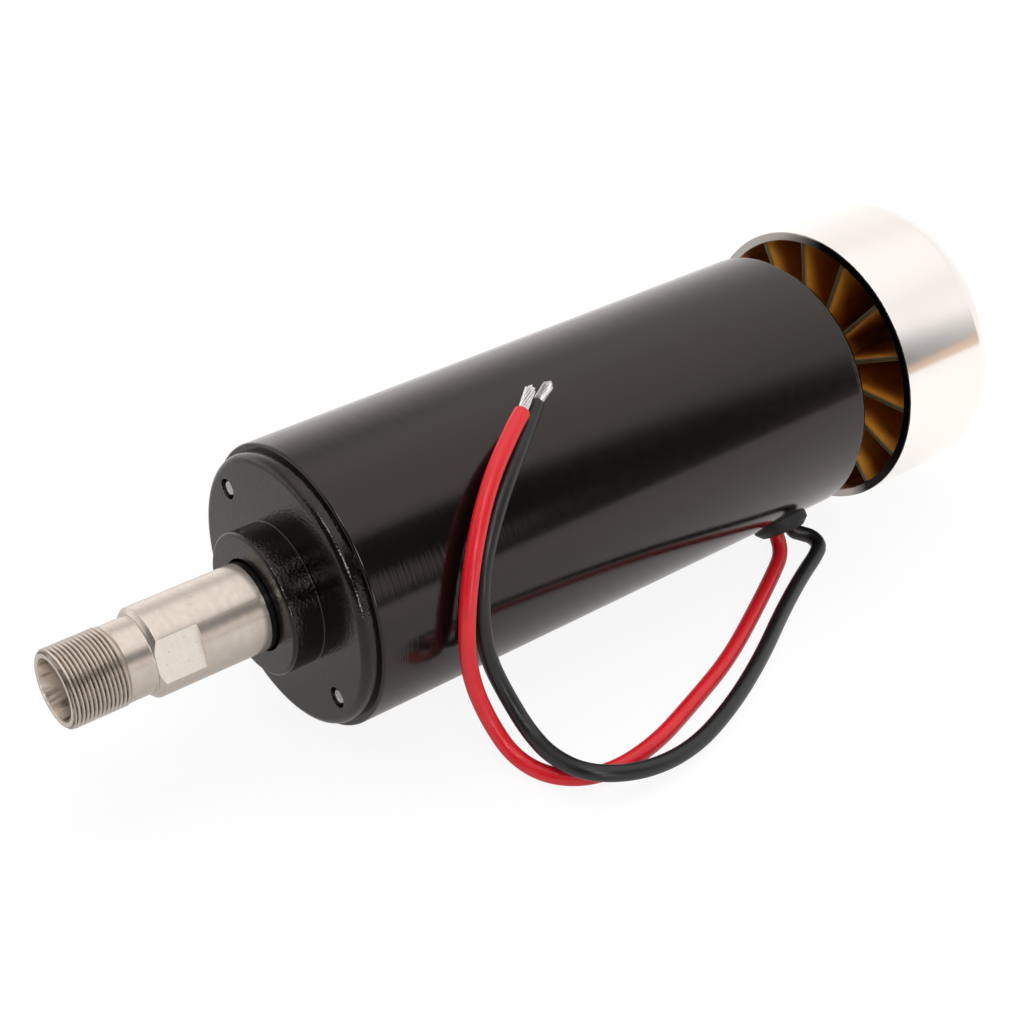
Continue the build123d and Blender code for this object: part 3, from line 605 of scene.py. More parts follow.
@dataclass(frozen=True)
class PolishedSteel(Finish):
    """Mirror-polished pressed steel: nearly white, with faint haze and the lightest polishing lines."""

    dark: str = "#f5f2ef"
    light: str = "#f6f2ee"
    metallic: float = 0.88
    roughness: float = 0.10
    brighter: float = 0.02         # how far the polish wanders each way, in patches of 14 mm
    duller: float = 0.04
    haze: float = 14.0
    gloss_span: tuple[float, float] = (0.3, 0.7)   # levels of the noise that count as its ends
    line: float = 0.5              # polishing lines, drawn as coarse as they need to show
    line_height: float = 0.0002
    round_scale: float = 0.03      # each runs round the axis for about thirty times its width
    lip_x: float = 126.1           # the cut lip isn't polished, and towards one side it is painted dark as shade
    lip: float = 0.22
    lip_ragged: float = 0.25       # how far its border wanders, in notches of 0.7 mm
    lip_notch: float = 0.7
    lip_roughness: float = 0.28
    lip_tint: str = "#b4afab"
    lip_shade_tint: str = "#171414"
    lip_shade_side: tuple[float, float, float] = (0.0, -0.94, 0.342)
    lip_shade_from: float = 6.0        # millimetres towards that side at which the painted shade begins, and is full
    lip_shade_full: float = 11.0

    def coat(self, tree: bpy.types.NodeTree, shader: bpy.types.Node, place: bpy.types.NodeSocket) -> None:
        """Lays the polish, its haze and its lines, then the unpolished lip, painted dark towards one side as
        shade.

        Args:
            tree: the material's nodes.
            shader: the shader that is dressed.
            place: Object coordinates.
        """
        haze = add(tree, "TexNoise", {}, {"Vector": place, "Scale": per(self.haze), "Detail": 3.0})
        gloss = add(tree, "MapRange", {}, {
            "Value": haze.outputs["Fac"], "From Min": self.gloss_span[0], "From Max": self.gloss_span[1],
            "To Min": self.roughness - self.brighter, "To Max": self.roughness + self.duller,
        })
        tint = add(tree, "Mix", {"data_type": "RGBA"}, {
            0: haze.outputs["Fac"], 6: colour(self.dark), 7: colour(self.light),
        })
        stretched = add(tree, "Mapping", {"vector_type": "POINT"}, {
            "Vector": place, "Scale": (1.0, self.round_scale, self.round_scale),
        })
        lines = add(tree, "TexNoise", {}, {
            "Vector": stretched.outputs["Vector"], "Scale": per(self.line), "Detail": 3.0,
        })
        bump = add(tree, "Bump", {}, {
            "Strength": 1.0, "Distance": self.line_height * MM, "Height": lines.outputs["Fac"],
        })
        station = add(tree, "SeparateXYZ", {}, {"Vector": place})
        ragged = add(tree, "TexNoise", {}, {"Vector": place, "Scale": per(self.lip_notch), "Detail": 3.0})
        lip = add(tree, "Math", {"operation": "MULTIPLY_ADD"}, {
            0: ragged.outputs["Fac"], 1: self.lip_ragged * MM, 2: (self.lip_x + self.lip) * MM,
        })
        cut = add(tree, "Math", {"operation": "LESS_THAN"}, {0: station.outputs["X"], 1: lip.outputs[0]})
        # painted shade: the lip darkens towards one side of the cup
        toward = add(tree, "VectorMath", {"operation": "DOT_PRODUCT"}, {0: place, 1: self.lip_shade_side})
        lip_shade = add(tree, "MapRange", {}, {
            "Value": toward.outputs["Value"], "From Min": self.lip_shade_from * MM,
            "From Max": self.lip_shade_full * MM,
        })
        shaded_lip_tint = add(tree, "Mix", {"data_type": "RGBA"}, {
            0: lip_shade.outputs["Result"], 6: colour(self.lip_tint), 7: colour(self.lip_shade_tint),
        })
        edged = add(tree, "Mix", {"data_type": "RGBA"}, {
            0: cut.outputs[0], 6: tint.outputs[2], 7: shaded_lip_tint.outputs[2],
        })
        dull = add(tree, "Mix", {"data_type": "FLOAT"}, {
            0: cut.outputs[0], 2: gloss.outputs["Result"], 3: self.lip_roughness,
        })
        tree.links.new(edged.outputs[2], shader.inputs["Base Color"])
        tree.links.new(dull.outputs[0], shader.inputs["Roughness"])
        tree.links.new(bump.outputs["Normal"], shader.inputs["Normal"])
        shader.inputs["Metallic"].default_value = self.metallic


@dataclass(frozen=True)
class AmberNylon(Finish):
    """Moulded amber nylon: brown and a little see-through, satin, with the blades' front edges coloured dark
    olive at the mouth.
    """

    dark: str = "#b06c1a"
    light: str = "#e39e3a"
    cloud: float = 7.0             # the resin's flow marks, in patches of 7 mm
    edge: str = "#524a2a"
    mouth_x: float = 126.1
    edge_full: float = 0.5         # behind the mouth, where the dark edge colour is full and where it ends
    edge_end: float = 1.1
    skin: float = 0.9              # the mould's spark-worn skin
    skin_height: float = 0.004
    glossiest: float = 0.30
    dullest: float = 0.46
    index: float = 1.53
    see_through: float = 0.25
    glow_radius: tuple[float, float, float] = (1.0, 0.45, 0.1)   # red light goes furthest in
    glow_depth: float = 1.5

    def coat(self, tree: bpy.types.NodeTree, shader: bpy.types.Node, place: bpy.types.NodeSocket) -> None:
        """Lays the resin's clouded colour and the dark olive front edges of the blades.

        Args:
            tree: the material's nodes.
            shader: the shader that is dressed.
            place: Object coordinates.
        """
        cloud = add(tree, "TexNoise", {}, {
            "Vector": place, "Scale": per(self.cloud), "Detail": 5.0, "Roughness": 0.6,
        })
        tint = add(tree, "Mix", {"data_type": "RGBA"}, {
            0: cloud.outputs["Fac"], 6: colour(self.dark), 7: colour(self.light),
        })
        station = add(tree, "SeparateXYZ", {}, {"Vector": place})
        rim = add(tree, "MapRange", {}, {
            "Value": station.outputs["X"], "From Min": (self.mouth_x + self.edge_end) * MM,
            "From Max": (self.mouth_x + self.edge_full) * MM,
        })
        # the blades' front edges are coloured dark olive here, near the mouth
        worn = add(tree, "Mix", {"data_type": "RGBA"}, {
            0: rim.outputs["Result"], 6: tint.outputs[2], 7: colour(self.edge),
        })
        fine = add(tree, "TexNoise", {}, {"Vector": place, "Scale": per(self.skin), "Detail": 3.0})
        gloss = add(tree, "MapRange", {}, {
            "Value": fine.outputs["Fac"], "To Min": self.glossiest, "To Max": self.dullest,
        })
        bump = add(tree, "Bump", {}, {
            "Strength": 1.0, "Distance": self.skin_height * MM, "Height": fine.outputs["Fac"],
        })
        tree.links.new(worn.outputs[2], shader.inputs["Base Color"])
        tree.links.new(gloss.outputs["Result"], shader.inputs["Roughness"])
        tree.links.new(bump.outputs["Normal"], shader.inputs["Normal"])
        shader.inputs["IOR"].default_value = self.index
        shader.inputs["Subsurface Weight"].default_value = self.see_through
        shader.inputs["Subsurface Radius"].default_value = self.glow_radius
        shader.inputs["Subsurface Scale"].default_value = self.glow_depth * MM


@dataclass(frozen=True)
class Moulded(Finish):
    """Moulded or extruded plastic, rubber or fibre: one colour that varies a little, with a fine skin."""

    dark: str
    light: str
    roughness: float
    grain: float = 0.6             # skin, in millimetres
    height: float = 0.002
    cloud: float = 5.0
    wander: float = 0.05           # how far the gloss wanders each way
    index: float = 1.5

    def coat(self, tree: bpy.types.NodeTree, shader: bpy.types.Node, place: bpy.types.NodeSocket) -> None:
        """Lays the colour, its cloud and the skin.

        Args:
            tree: the material's nodes.
            shader: the shader that is dressed.
            place: Object coordinates.
        """
        cloud = add(tree, "TexNoise", {}, {"Vector": place, "Scale": per(self.cloud), "Detail": 4.0})
        skin = add(tree, "TexNoise", {}, {"Vector": place, "Scale": per(self.grain), "Detail": 3.0})
        tint = add(tree, "Mix", {"data_type": "RGBA"}, {
            0: cloud.outputs["Fac"], 6: colour(self.dark), 7: colour(self.light),
        })
        gloss = add(tree, "MapRange", {}, {
            "Value": skin.outputs["Fac"], "To Min": self.roughness - self.wander,
            "To Max": self.roughness + self.wander,
        })
        bump = add(tree, "Bump", {}, {
            "Strength": 1.0, "Distance": self.height * MM, "Height": skin.outputs["Fac"],
        })
        tree.links.new(tint.outputs[2], shader.inputs["Base Color"])
        tree.links.new(gloss.outputs["Result"], shader.inputs["Roughness"])
        tree.links.new(bump.outputs["Normal"], shader.inputs["Normal"])
        shader.inputs["IOR"].default_value = self.index


@dataclass(frozen=True)
class Metal(Finish):
    """Plain worked metal or a metallic coat: ground, pressed, drawn or plated."""

    dark: str
    light: str
    roughness: float
    grain: float = 0.8             # tool marks or crystals, in millimetres
    height: float = 0.001
    cloud: float = 3.0
    wander: float = 0.06           # how far the gloss wanders each way

    def coat(self, tree: bpy.types.NodeTree, shader: bpy.types.Node, place: bpy.types.NodeSocket) -> None:
        """Lays the metal's tint, its grain and its gloss.

        Args:
            tree: the material's nodes.
            shader: the shader that is dressed.
            place: Object coordinates.
        """
        cloud = add(tree, "TexNoise", {}, {"Vector": place, "Scale": per(self.cloud), "Detail": 5.0})
        grain = add(tree, "TexNoise", {}, {"Vector": place, "Scale": per(self.grain), "Detail": 3.0})
        tint = add(tree, "Mix", {"data_type": "RGBA"}, {
            0: cloud.outputs["Fac"], 6: colour(self.dark), 7: colour(self.light),
        })
        gloss = add(tree, "MapRange", {}, {
            "Value": grain.outputs["Fac"], "To Min": self.roughness - self.wander,
            "To Max": self.roughness + self.wander,
        })
        bump = add(tree, "Bump", {}, {
            "Strength": 1.0, "Distance": self.height * MM, "Height": grain.outputs["Fac"],
        })
        tree.links.new(tint.outputs[2], shader.inputs["Base Color"])
        tree.links.new(gloss.outputs["Result"], shader.inputs["Roughness"])
        tree.links.new(bump.outputs["Normal"], shader.inputs["Normal"])
        shader.inputs["Metallic"].default_value = 1.0


# Sprayed on the turned tube: a deep black mirror, with the tool's lines faint in it near the nose.
TUBE_ENAMEL = StoveEnamel("tube_enamel")
# Sprayed thick on the rougher covers: glossier, and its highlights break up into small wet blots.
COVER_ENAMEL = StoveEnamel(
    "cover_enamel", roughness=0.1, peel=0.5, peel_height=0.06, turning_height=0.0005
)
# Turned and then ground: satin and warm, with highlights that run round the axis and painted shade in the
# thread's roots.
NOSE_STEEL = TurnedSteel("turned_nose_steel")
# Milled: paler and duller than the turned steel round it, with tool marks that stand clear.
MILLED_STEEL = TurnedSteel(
    "milled_steel", dark="#ddd2c6", light="#fbf5ee", metallic=0.45, roughness=0.4, drawn=0.1, line=0.3,
    line_height=0.006,
)
# Pressed and polished: as white as the room that it mirrors, with a dull cut lip painted dark on one side as
# shade.
CUP_STEEL = PolishedSteel("bright_pressed_steel")
# Moulded: deep amber pockets that glow a little where light goes into the blades.
IMPELLER_NYLON = AmberNylon("amber_nylon")
# Extruded: a clean strong red, with one soft highlight along the wire.
RED_VINYL = Moulded("red_vinyl", "#c80f1e", "#dc1c2a", roughness=0.34, grain=0.5, height=0.0015)
# Extruded: black, and told from the enamel behind it by its softer highlight.
BLACK_VINYL = Moulded("black_vinyl", "#0c0c0d", "#1a1a1c", roughness=0.36, grain=0.5, height=0.0015)
# Moulded: matt black that takes the light away round the leads.
RUBBER = Moulded("grommet_rubber", "#161616", "#222222", roughness=0.6, grain=0.4, height=0.004)
# Hot-tinned: silver white, a little rough, each strand with its own glint.
TINNED = Metal("tinned_strands", "#d6d4d2", "#f6f5f4", roughness=0.26, grain=0.4, height=0.004)
# Plated: an even cool grey with a bright rim on every edge.
ZINC = Metal("zinc_plate", "#9fa1a3", "#c9cbcd", roughness=0.26, grain=0.4, height=0.001)
# Hardened and ground: clean, grey and nearly a mirror.
BEARING_STEEL = Metal(
    "ground_bearing_steel", "#b4b6b8", "#d2d3d5", roughness=0.16, grain=0.3, height=0.0004
)
# Drawn and oiled: dark grey with long soft glints.
SPRING_STEEL = Metal("oiled_spring_steel", "#5a5c60", "#80838a", roughness=0.3, grain=0.3, height=0.0008)
# Blackened: nearly black, yet still a metal where an edge catches the light.
BLACK_OXIDE = Metal("black_oxide_steel", "#26272a", "#3a3b3f", roughness=0.34, grain=0.3, height=0.001)
# Turned: pale, even and a little cooler than the steel.
BUSH_ALLOY = Metal("turned_aluminium", "#b9babc", "#dcdcde", roughness=0.28, grain=0.2, height=0.001)
# Stamped and stacked: dull blue grey, too rough to mirror anything.
LAMINATION = Metal(
    "stacked_electrical_steel", "#5c5f64", "#84878c", roughness=0.42, grain=0.5, height=0.003
)
# Turned in place: warm pink metal with a satin track.
COPPER_BARS = Metal("turned_copper", "#a5603a", "#c98a5e", roughness=0.3, grain=0.2, height=0.001)
# Enamelled and wound: dark red amber, lumpy as a coil of wires is.
ENAMELLED_WIRE = Metal(
    "enamelled_copper_wire", "#6e2a10", "#a5501f", roughness=0.3, grain=0.45, height=0.02
)
# Pressed from sheet: dull yellow, with soft edges to its highlights.
SHEET_BRASS = Metal("pressed_brass", "#a98a45", "#cdb06a", roughness=0.3, grain=0.5, height=0.001)
# Sintered: charcoal, matt and without a glint.
FERRITE = Moulded("sintered_ferrite", "#1c1c1f", "#2c2c30", roughness=0.62, grain=0.25, height=0.005)
# Pressed and baked: soft black with a faint grey sheen.
CARBON = Moulded("pressed_carbon", "#151517", "#242427", roughness=0.55, grain=0.3, height=0.004)
# Moulded: very dark brown with a dull shine.
PHENOLIC = Moulded("phenolic_moulding", "#1c120c", "#2c1d14", roughness=0.4, grain=0.4, height=0.002)
# Pressed from paper and resin: toffee brown and satin.
RESIN_LAMINATE = Moulded(
    "brown_resin_laminate", "#6a3c14", "#8a5524", roughness=0.42, grain=0.4, height=0.003
)
# Pressed: pale straw, matt and faintly fuzzy.
FIBRE = Moulded("pressed_fibre", "#b5ae92", "#cfc8ac", roughness=0.6, grain=0.3, height=0.004)


# ------------------------------------------------------------------------------------------- studio
@dataclass
class Softbox:
    """A soft white lamp: a panel that faces a point, in metres and watts."""

    name: str
    place: tuple[float, float, float]
    aim: tuple[float, float, float]
    width: float
    depth: float
    power: float
    mirrored: bool = False   # whether gloss shows the panel, beside the room's own light

    def hang(self) -> None:
        """Hangs the lamp."""
        lamp = bpy.data.lights.new(self.name, "AREA")
        lamp.shape = "RECTANGLE"
        lamp.size, lamp.size_y = self.width, self.depth
        lamp.energy = self.power
        holder = bpy.data.objects.new(self.name, lamp)
        holder.location = self.place
        holder.rotation_euler = (Vector(self.aim) - Vector(self.place)).to_track_quat("-Z", "Y").to_euler()
        holder.visible_glossy = self.mirrored
        bpy.context.collection.objects.link(holder)


@dataclass
class Glow:
    """A round patch of the room with a level of its own, such as a far window or a wooden shelf."""

    azimuth: float           # degrees round from +X, and then up from the level
    height: float
    inner: float             # degrees from its centre to where it is full, and then to where it ends
    outer: float
    shares: tuple[float, float, float]

    def reach(self) -> dict[str, float]:
        """Cosines between which the patch comes in, from its end to where it is full."""
        return {"From Min": math.cos(math.radians(self.outer)), "From Max": math.cos(math.radians(self.inner))}

    def way(self) -> tuple[float, float, float]:
        """Direction of the patch's centre."""
        turned, risen = math.radians(self.azimuth), math.radians(self.height)
        return (math.cos(turned) * math.cos(risen), math.sin(turned) * math.cos(risen), math.sin(risen))


@dataclass
class Studio:
    """The camera, the pale floor and the soft light."""

    eye: tuple[float, float, float] = (-145.9, -252.2, 199.11)
    right: tuple[float, float, float] = (0.78389, -0.62075, -0.01431)   # the camera's own right, and its top
    up: tuple[float, float, float] = (0.34270, 0.41332, 0.84364)
    lens: float = 72.07
    sensor: float = 36.0
    nearest: float = 0.01                             # metres
    floor_touch: tuple[float, float] = (2.8, -26.0)   # station and height where the tube touches
    floor_slope: float = -0.01617                     # down towards the larger cup, which touches as well
    floor_reach: float = 3000.0
    paper: str = "#f6f6f6"
    seen_share: float = 0.9          # how much of the floor's white is its own, to the camera
    gloss_share: float = 0.6         # and in gloss, where it is warmer and falls off towards the nose
    gloss_tint: tuple[float, float, float, float] = (1.0, 0.965, 0.94, 1.0)
    dim_x: float = -40.0             # stations between which the floor's gloss brightens
    dim_level: float = 0.43
    bright_x: float = 120.0
    bright_level: float = 1.15
    room_level: float = 1.3
    behind: Sequence[tuple[float, ...]] = (   # sine of the height, then red, green and blue shares
        (0.0, 1.0, 0.96, 0.94), (0.2, 0.92, 0.88, 0.86), (0.45, 0.68, 0.65, 0.63), (0.62, 0.48, 0.46, 0.45),
        (0.76, 0.6, 0.57, 0.55), (0.86, 0.9, 0.86, 0.84), (0.95, 0.95, 0.92, 0.9),
    )
    beside: Sequence[tuple[float, ...]] = (
        (0.0, 0.8, 0.77, 0.75), (0.4, 0.8, 0.78, 0.76), (0.6, 0.74, 0.72, 0.7), (0.8, 0.9, 0.87, 0.85),
    )
    before: Sequence[tuple[float, ...]] = (
        (0.0, 0.16, 0.15, 0.15), (0.1, 0.08, 0.08, 0.08), (0.3, 0.05, 0.05, 0.05),
        (0.67, 0.05, 0.05, 0.05), (0.76, 0.88, 0.84, 0.82), (0.9, 0.95, 0.92, 0.9),
    )
    glows: Sequence[Glow] = (
        Glow(-70.0, 12.0, 7.0, 13.0, (0.75, 0.7, 0.66)),      # a shelf
        Glow(-43.0, -1.0, 4.5, 6.5, (0.6, 0.42, 0.31)),       # a wooden door
        Glow(-140.0, 25.0, 38.0, 58.0, (0.05, 0.05, 0.05)),   # the dark behind the stand
        Glow(-101.0, 8.0, 5.0, 9.0, (6.0, 5.9, 5.8)),         # three small windows
        Glow(-109.0, 38.0, 6.0, 11.0, (7.0, 6.9, 6.8)),
        Glow(-128.0, 66.0, 5.0, 9.0, (6.0, 5.9, 5.8)),
    )
    front_corner: tuple[float, float, float] = (-0.669, -0.743, 0.0)   # square to the front right corner
    front_blend: tuple[float, float] = (-0.03, 0.11)                   # cosines between which its walls meet
    rear_corner: tuple[float, float, float] = (-0.743, 0.669, 0.0)     # and the rear right corner's
    rear_blend: tuple[float, float] = (-0.15, 0.2)
    lamps: list[Softbox] = field(default_factory=lambda: [
        Softbox("overhead", (0.10, 0.20, 1.00), (0.05, 0.0, 0.0), 0.9, 0.7, 3.0),
    ])

    def camera(self) -> None:
        """Sets up the camera."""
        optics = bpy.data.cameras.new("camera")
        optics.lens = self.lens
        optics.sensor_width = self.sensor
        optics.clip_start = self.nearest
        holder = bpy.data.objects.new("camera", optics)
        right, up = Vector(self.right).normalized(), Vector(self.up)
        back = right.cross(up).normalized()
        up = back.cross(right)
        turned = Matrix((right, up, back)).transposed().to_4x4()
        turned.translation = Vector(self.eye) * MM
        holder.matrix_world = turned
        bpy.context.collection.objects.link(holder)
        bpy.context.scene.camera = holder

    def floor(self) -> None:
        """Lays the floor, white for the camera and in gloss, with the object's shadow kept."""
        isolate()
        bpy.ops.mesh.primitive_grid_add(x_subdivisions=8, y_subdivisions=8, size=self.floor_reach * MM)
        ground = named("floor")
        x, z = self.floor_touch
        for point in ground.data.vertices:
            point.co.z = (z + self.floor_slope * (point.co.x / MM - x)) * MM
        made = bpy.data.materials.new("floor_paper")
        made.use_nodes = True
        tree = made.node_tree
        tree.nodes.clear()
        matt = add(tree, "BsdfDiffuse", {}, {"Color": colour(self.paper)})
        ray = add(tree, "LightPath", {}, {})
        station = add(tree, "SeparateXYZ", {}, {"Vector": add(tree, "TexCoord", {}, {}).outputs["Object"]})
        fall = add(tree, "MapRange", {}, {
            "Value": station.outputs["X"], "From Min": self.dim_x * MM, "From Max": self.bright_x * MM,
            "To Min": self.dim_level, "To Max": self.bright_level,
        })
        level = add(tree, "Mix", {"data_type": "FLOAT"}, {
            0: ray.outputs["Is Glossy Ray"], 2: 1.0, 3: fall.outputs["Result"],
        })
        warm = add(tree, "Mix", {"data_type": "RGBA"}, {
            0: ray.outputs["Is Glossy Ray"], 6: (1, 1, 1, 1), 7: self.gloss_tint,
        })
        glow = add(tree, "Emission", {}, {"Color": warm.outputs[2], "Strength": level.outputs[0]})
        direct = add(tree, "Math", {"operation": "MULTIPLY"}, {
            0: ray.outputs["Is Camera Ray"], 1: self.seen_share,
        })
        share = add(tree, "Math", {"operation": "MULTIPLY_ADD"}, {
            0: ray.outputs["Is Glossy Ray"], 1: self.gloss_share, 2: direct.outputs[0],
        })
        both = add(tree, "MixShader", {}, {0: share.outputs[0], 1: matt.outputs[0], 2: glow.outputs[0]})
        add(tree, "OutputMaterial", {}, {"Surface": both.outputs[0]})
        ground.data.materials.append(made)

    def wall(self, tree: bpy.types.NodeTree, height: bpy.types.NodeSocket,
             steps: Sequence[tuple[float, ...]]) -> bpy.types.NodeSocket:
        """Paints one wall of the room, lighter and darker by height.

        Args:
            tree: the room's nodes.
            height: sine of the height in which a ray looks.
            steps: the wall's levels from low to high, each with its sine of the height.

        Returns:
            The wall's colour.
        """
        ramp = add(tree, "ValToRGB", {}, {"Fac": height})
        elements = ramp.color_ramp.elements
        elements.remove(elements[1])
        elements[0].position = steps[0][0]
        elements[0].color = (*steps[0][1:], 1.0)
        for step in steps[1:]:
            elements.new(step[0]).color = (*step[1:], 1.0)
        return ramp.outputs["Color"]

    def blend(self, tree: bpy.types.NodeTree, look: bpy.types.NodeSocket, toward: tuple[float, float, float],
              span: dict[str, float], here: Any, there: Any) -> bpy.types.NodeSocket:
        """Passes softly from one colour of the room to another, by how far a ray looks one way.

        Args:
            tree: the room's nodes.
            look: the direction in which a ray looks.
            toward: the direction in which the second colour lies.
            span: cosines between which the change comes in.
            here: the first colour.
            there: the second colour.

        Returns:
            The blended colour.
        """
        near = add(tree, "VectorMath", {"operation": "DOT_PRODUCT"}, {0: look, 1: toward})
        share = add(tree, "MapRange", {"interpolation_type": "SMOOTHSTEP"}, {
            "Value": near.outputs["Value"], **span,
        })
        mixed = add(tree, "Mix", {"data_type": "RGBA"}, {0: share.outputs["Result"], 6: here, 7: there})
        return mixed.outputs[2]

    def light(self) -> None:
        """Paints the room and hangs the lamps.  The camera sees plain white in place of the room."""
        world = bpy.data.worlds.new("room")
        world.use_nodes = True
        tree = world.node_tree
        tree.nodes.clear()
        look = add(tree, "TexCoord", {}, {}).outputs["Generated"]
        height = add(tree, "SeparateXYZ", {}, {"Vector": look}).outputs["Z"]
        beside, before, behind = [
            self.wall(tree, height, steps) for steps in (self.beside, self.before, self.behind)
        ]
        front, rear = [
            {"From Min": least, "From Max": most} for least, most in (self.front_blend, self.rear_blend)
        ]
        room = self.blend(tree, look, self.front_corner, front, beside, before)
        room = self.blend(tree, look, self.rear_corner, rear, room, behind)
        for glow in self.glows:
            room = self.blend(tree, look, glow.way(), glow.reach(), room, (*glow.shares, 1.0))
        back = add(tree, "Background", {}, {"Color": room, "Strength": self.room_level})
        plain = add(tree, "Background", {}, {"Color": (1.0, 1.0, 1.0, 1.0), "Strength": 1.0})
        ray = add(tree, "LightPath", {}, {})
        seen = add(tree, "MixShader", {}, {
            0: ray.outputs["Is Camera Ray"], 1: back.outputs[0], 2: plain.outputs[0],
        })
        add(tree, "OutputWorld", {}, {"Surface": seen.outputs[0]})
        bpy.context.scene.world = world
        for lamp in self.lamps:
            lamp.hang()

    def build(self) -> None:
        """Sets up the whole studio."""
        bpy.context.scene.view_settings.view_transform = "Standard"
        self.camera()
        self.floor()
        self.light()


# ------------------------------------------------------------------------------------------- leads
@dataclass
class Lead:
    """One wire of the pair, with its tinned strands."""

    name: str
    finish: Finish
    slot: str
    route: Sequence[tuple[float, float, float]]
    length: float
    tip: tuple[float, float, float]   # from the wire's end to the end of its strands
    radius: float = 1.5
    smoothness: int = 16     # steps of the curve between two of its points
    order: int = 3           # the curve is made of parabolas, which keep close to the points
    roundness: int = 8       # fineness of its round section
    strand_radius: float = 0.17
    strand_sides: int = 14
    strand_steps: int = 26   # lengths that a strand is drawn out in
    strands: int = 19
    first_ring: int = 6      # strands round the middle one, with twice as many round those
    spacing: float = 2.2     # from ring to ring, in radii of a strand
    splay: float = 0.08      # how far the outer strands spread at their ends
    twist: float = 0.3       # turns of the strands over the tip
    tucked: float = 0.6      # how far the strands reach back into the wire
    uneven: float = 0.01     # strands are cut short by up to six times this share of their length
    domed: float = 0.03      # and again by this share in the first ring and four times in the second

    def sleeve(self) -> bpy.types.Object:
        """Lays the insulated wire as one smooth curve.

        Returns:
            The wire.
        """
        line = bpy.data.curves.new(self.name + "_wire", "CURVE")
        line.dimensions = "3D"
        spline = line.splines.new("NURBS")
        spline.points.add(len(self.route) - 1)
        for point, place in zip(spline.points, self.route):
            point.co = (place[0] * MM, place[1] * MM, place[2] * MM, 1.0)
        spline.order_u = self.order
        spline.use_endpoint_u = True
        spline.resolution_u = line.resolution_u = self.smoothness
        line.bevel_depth = self.radius * MM
        line.bevel_resolution = self.roundness
        line.use_fill_caps = True
        wire = bpy.data.objects.new(self.name + "_wire", line)
        bpy.context.collection.objects.link(wire)
        line.materials.append(self.finish.material())
        return wire

    def bundle(self) -> bpy.types.Object:
        """Twists the tinned strands that stand out of the wire's end.

        Returns:
            The strands, as one piece.
        """
        made = []
        steps = self.strand_steps
        tip_length = Vector(self.tip).length + self.tucked
        for index in range(self.strands):
            ring = 0 if index == 0 else 1 if index <= self.first_ring else 2
            offset = self.spacing * ring * self.strand_radius
            phase = math.tau * index / max(1, self.first_ring * ring)
            isolate()
            bpy.ops.mesh.primitive_circle_add(
                vertices=self.strand_sides, radius=self.strand_radius * MM, fill_type="NGON"
            )
            strand = named(f"{self.name}_strand_{index}")
            bpy.ops.object.mode_set(mode="EDIT")
            bpy.ops.mesh.select_all(action="SELECT")
            bpy.ops.transform.translate(
                value=(offset * math.cos(phase) * MM, offset * math.sin(phase) * MM, 0)
            )
            reach = tip_length * (1.0 - self.uneven * (index * 5 % 7) - self.domed * ring ** 2)
            for step in range(steps):
                drift = self.splay * ring / 2 * (2 * step + 1) / steps ** 2
                bpy.ops.mesh.extrude_region_move(TRANSFORM_OT_translate={
                    "value": (drift * math.cos(phase) * MM, drift * math.sin(phase) * MM, reach / steps * MM)
                })
            bpy.ops.object.mode_set(mode="OBJECT")
            for point in strand.data.vertices:
                turned = Matrix.Rotation(math.tau * self.twist * point.co.z / (tip_length * MM), 3, "Z")
                point.co = turned @ point.co
            close_shell(strand)
            soften(strand, FINE_EDGE)
            made.append(strand)
        tip = joined(self.name + "_strands", made)
        way = Vector(self.tip)
        turned = way.to_track_quat("Z", "Y").to_matrix().to_4x4()
        turned.translation = (Vector(self.route[-1]) - way.normalized() * self.tucked) * MM
        tip.data.transform(turned)
        TINNED.put_on(tip)
        return tip

    def build(self) -> None:
        wire = self.sleeve()
        tip = self.bundle()
        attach(wire, "stator")
        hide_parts(self.name + "_lead")
        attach(tip, "stator")
        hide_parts(self.name + "_tip")
        log.info("%s lead, %.0f mm long, with %d strands", self.name, self.length, self.strands)


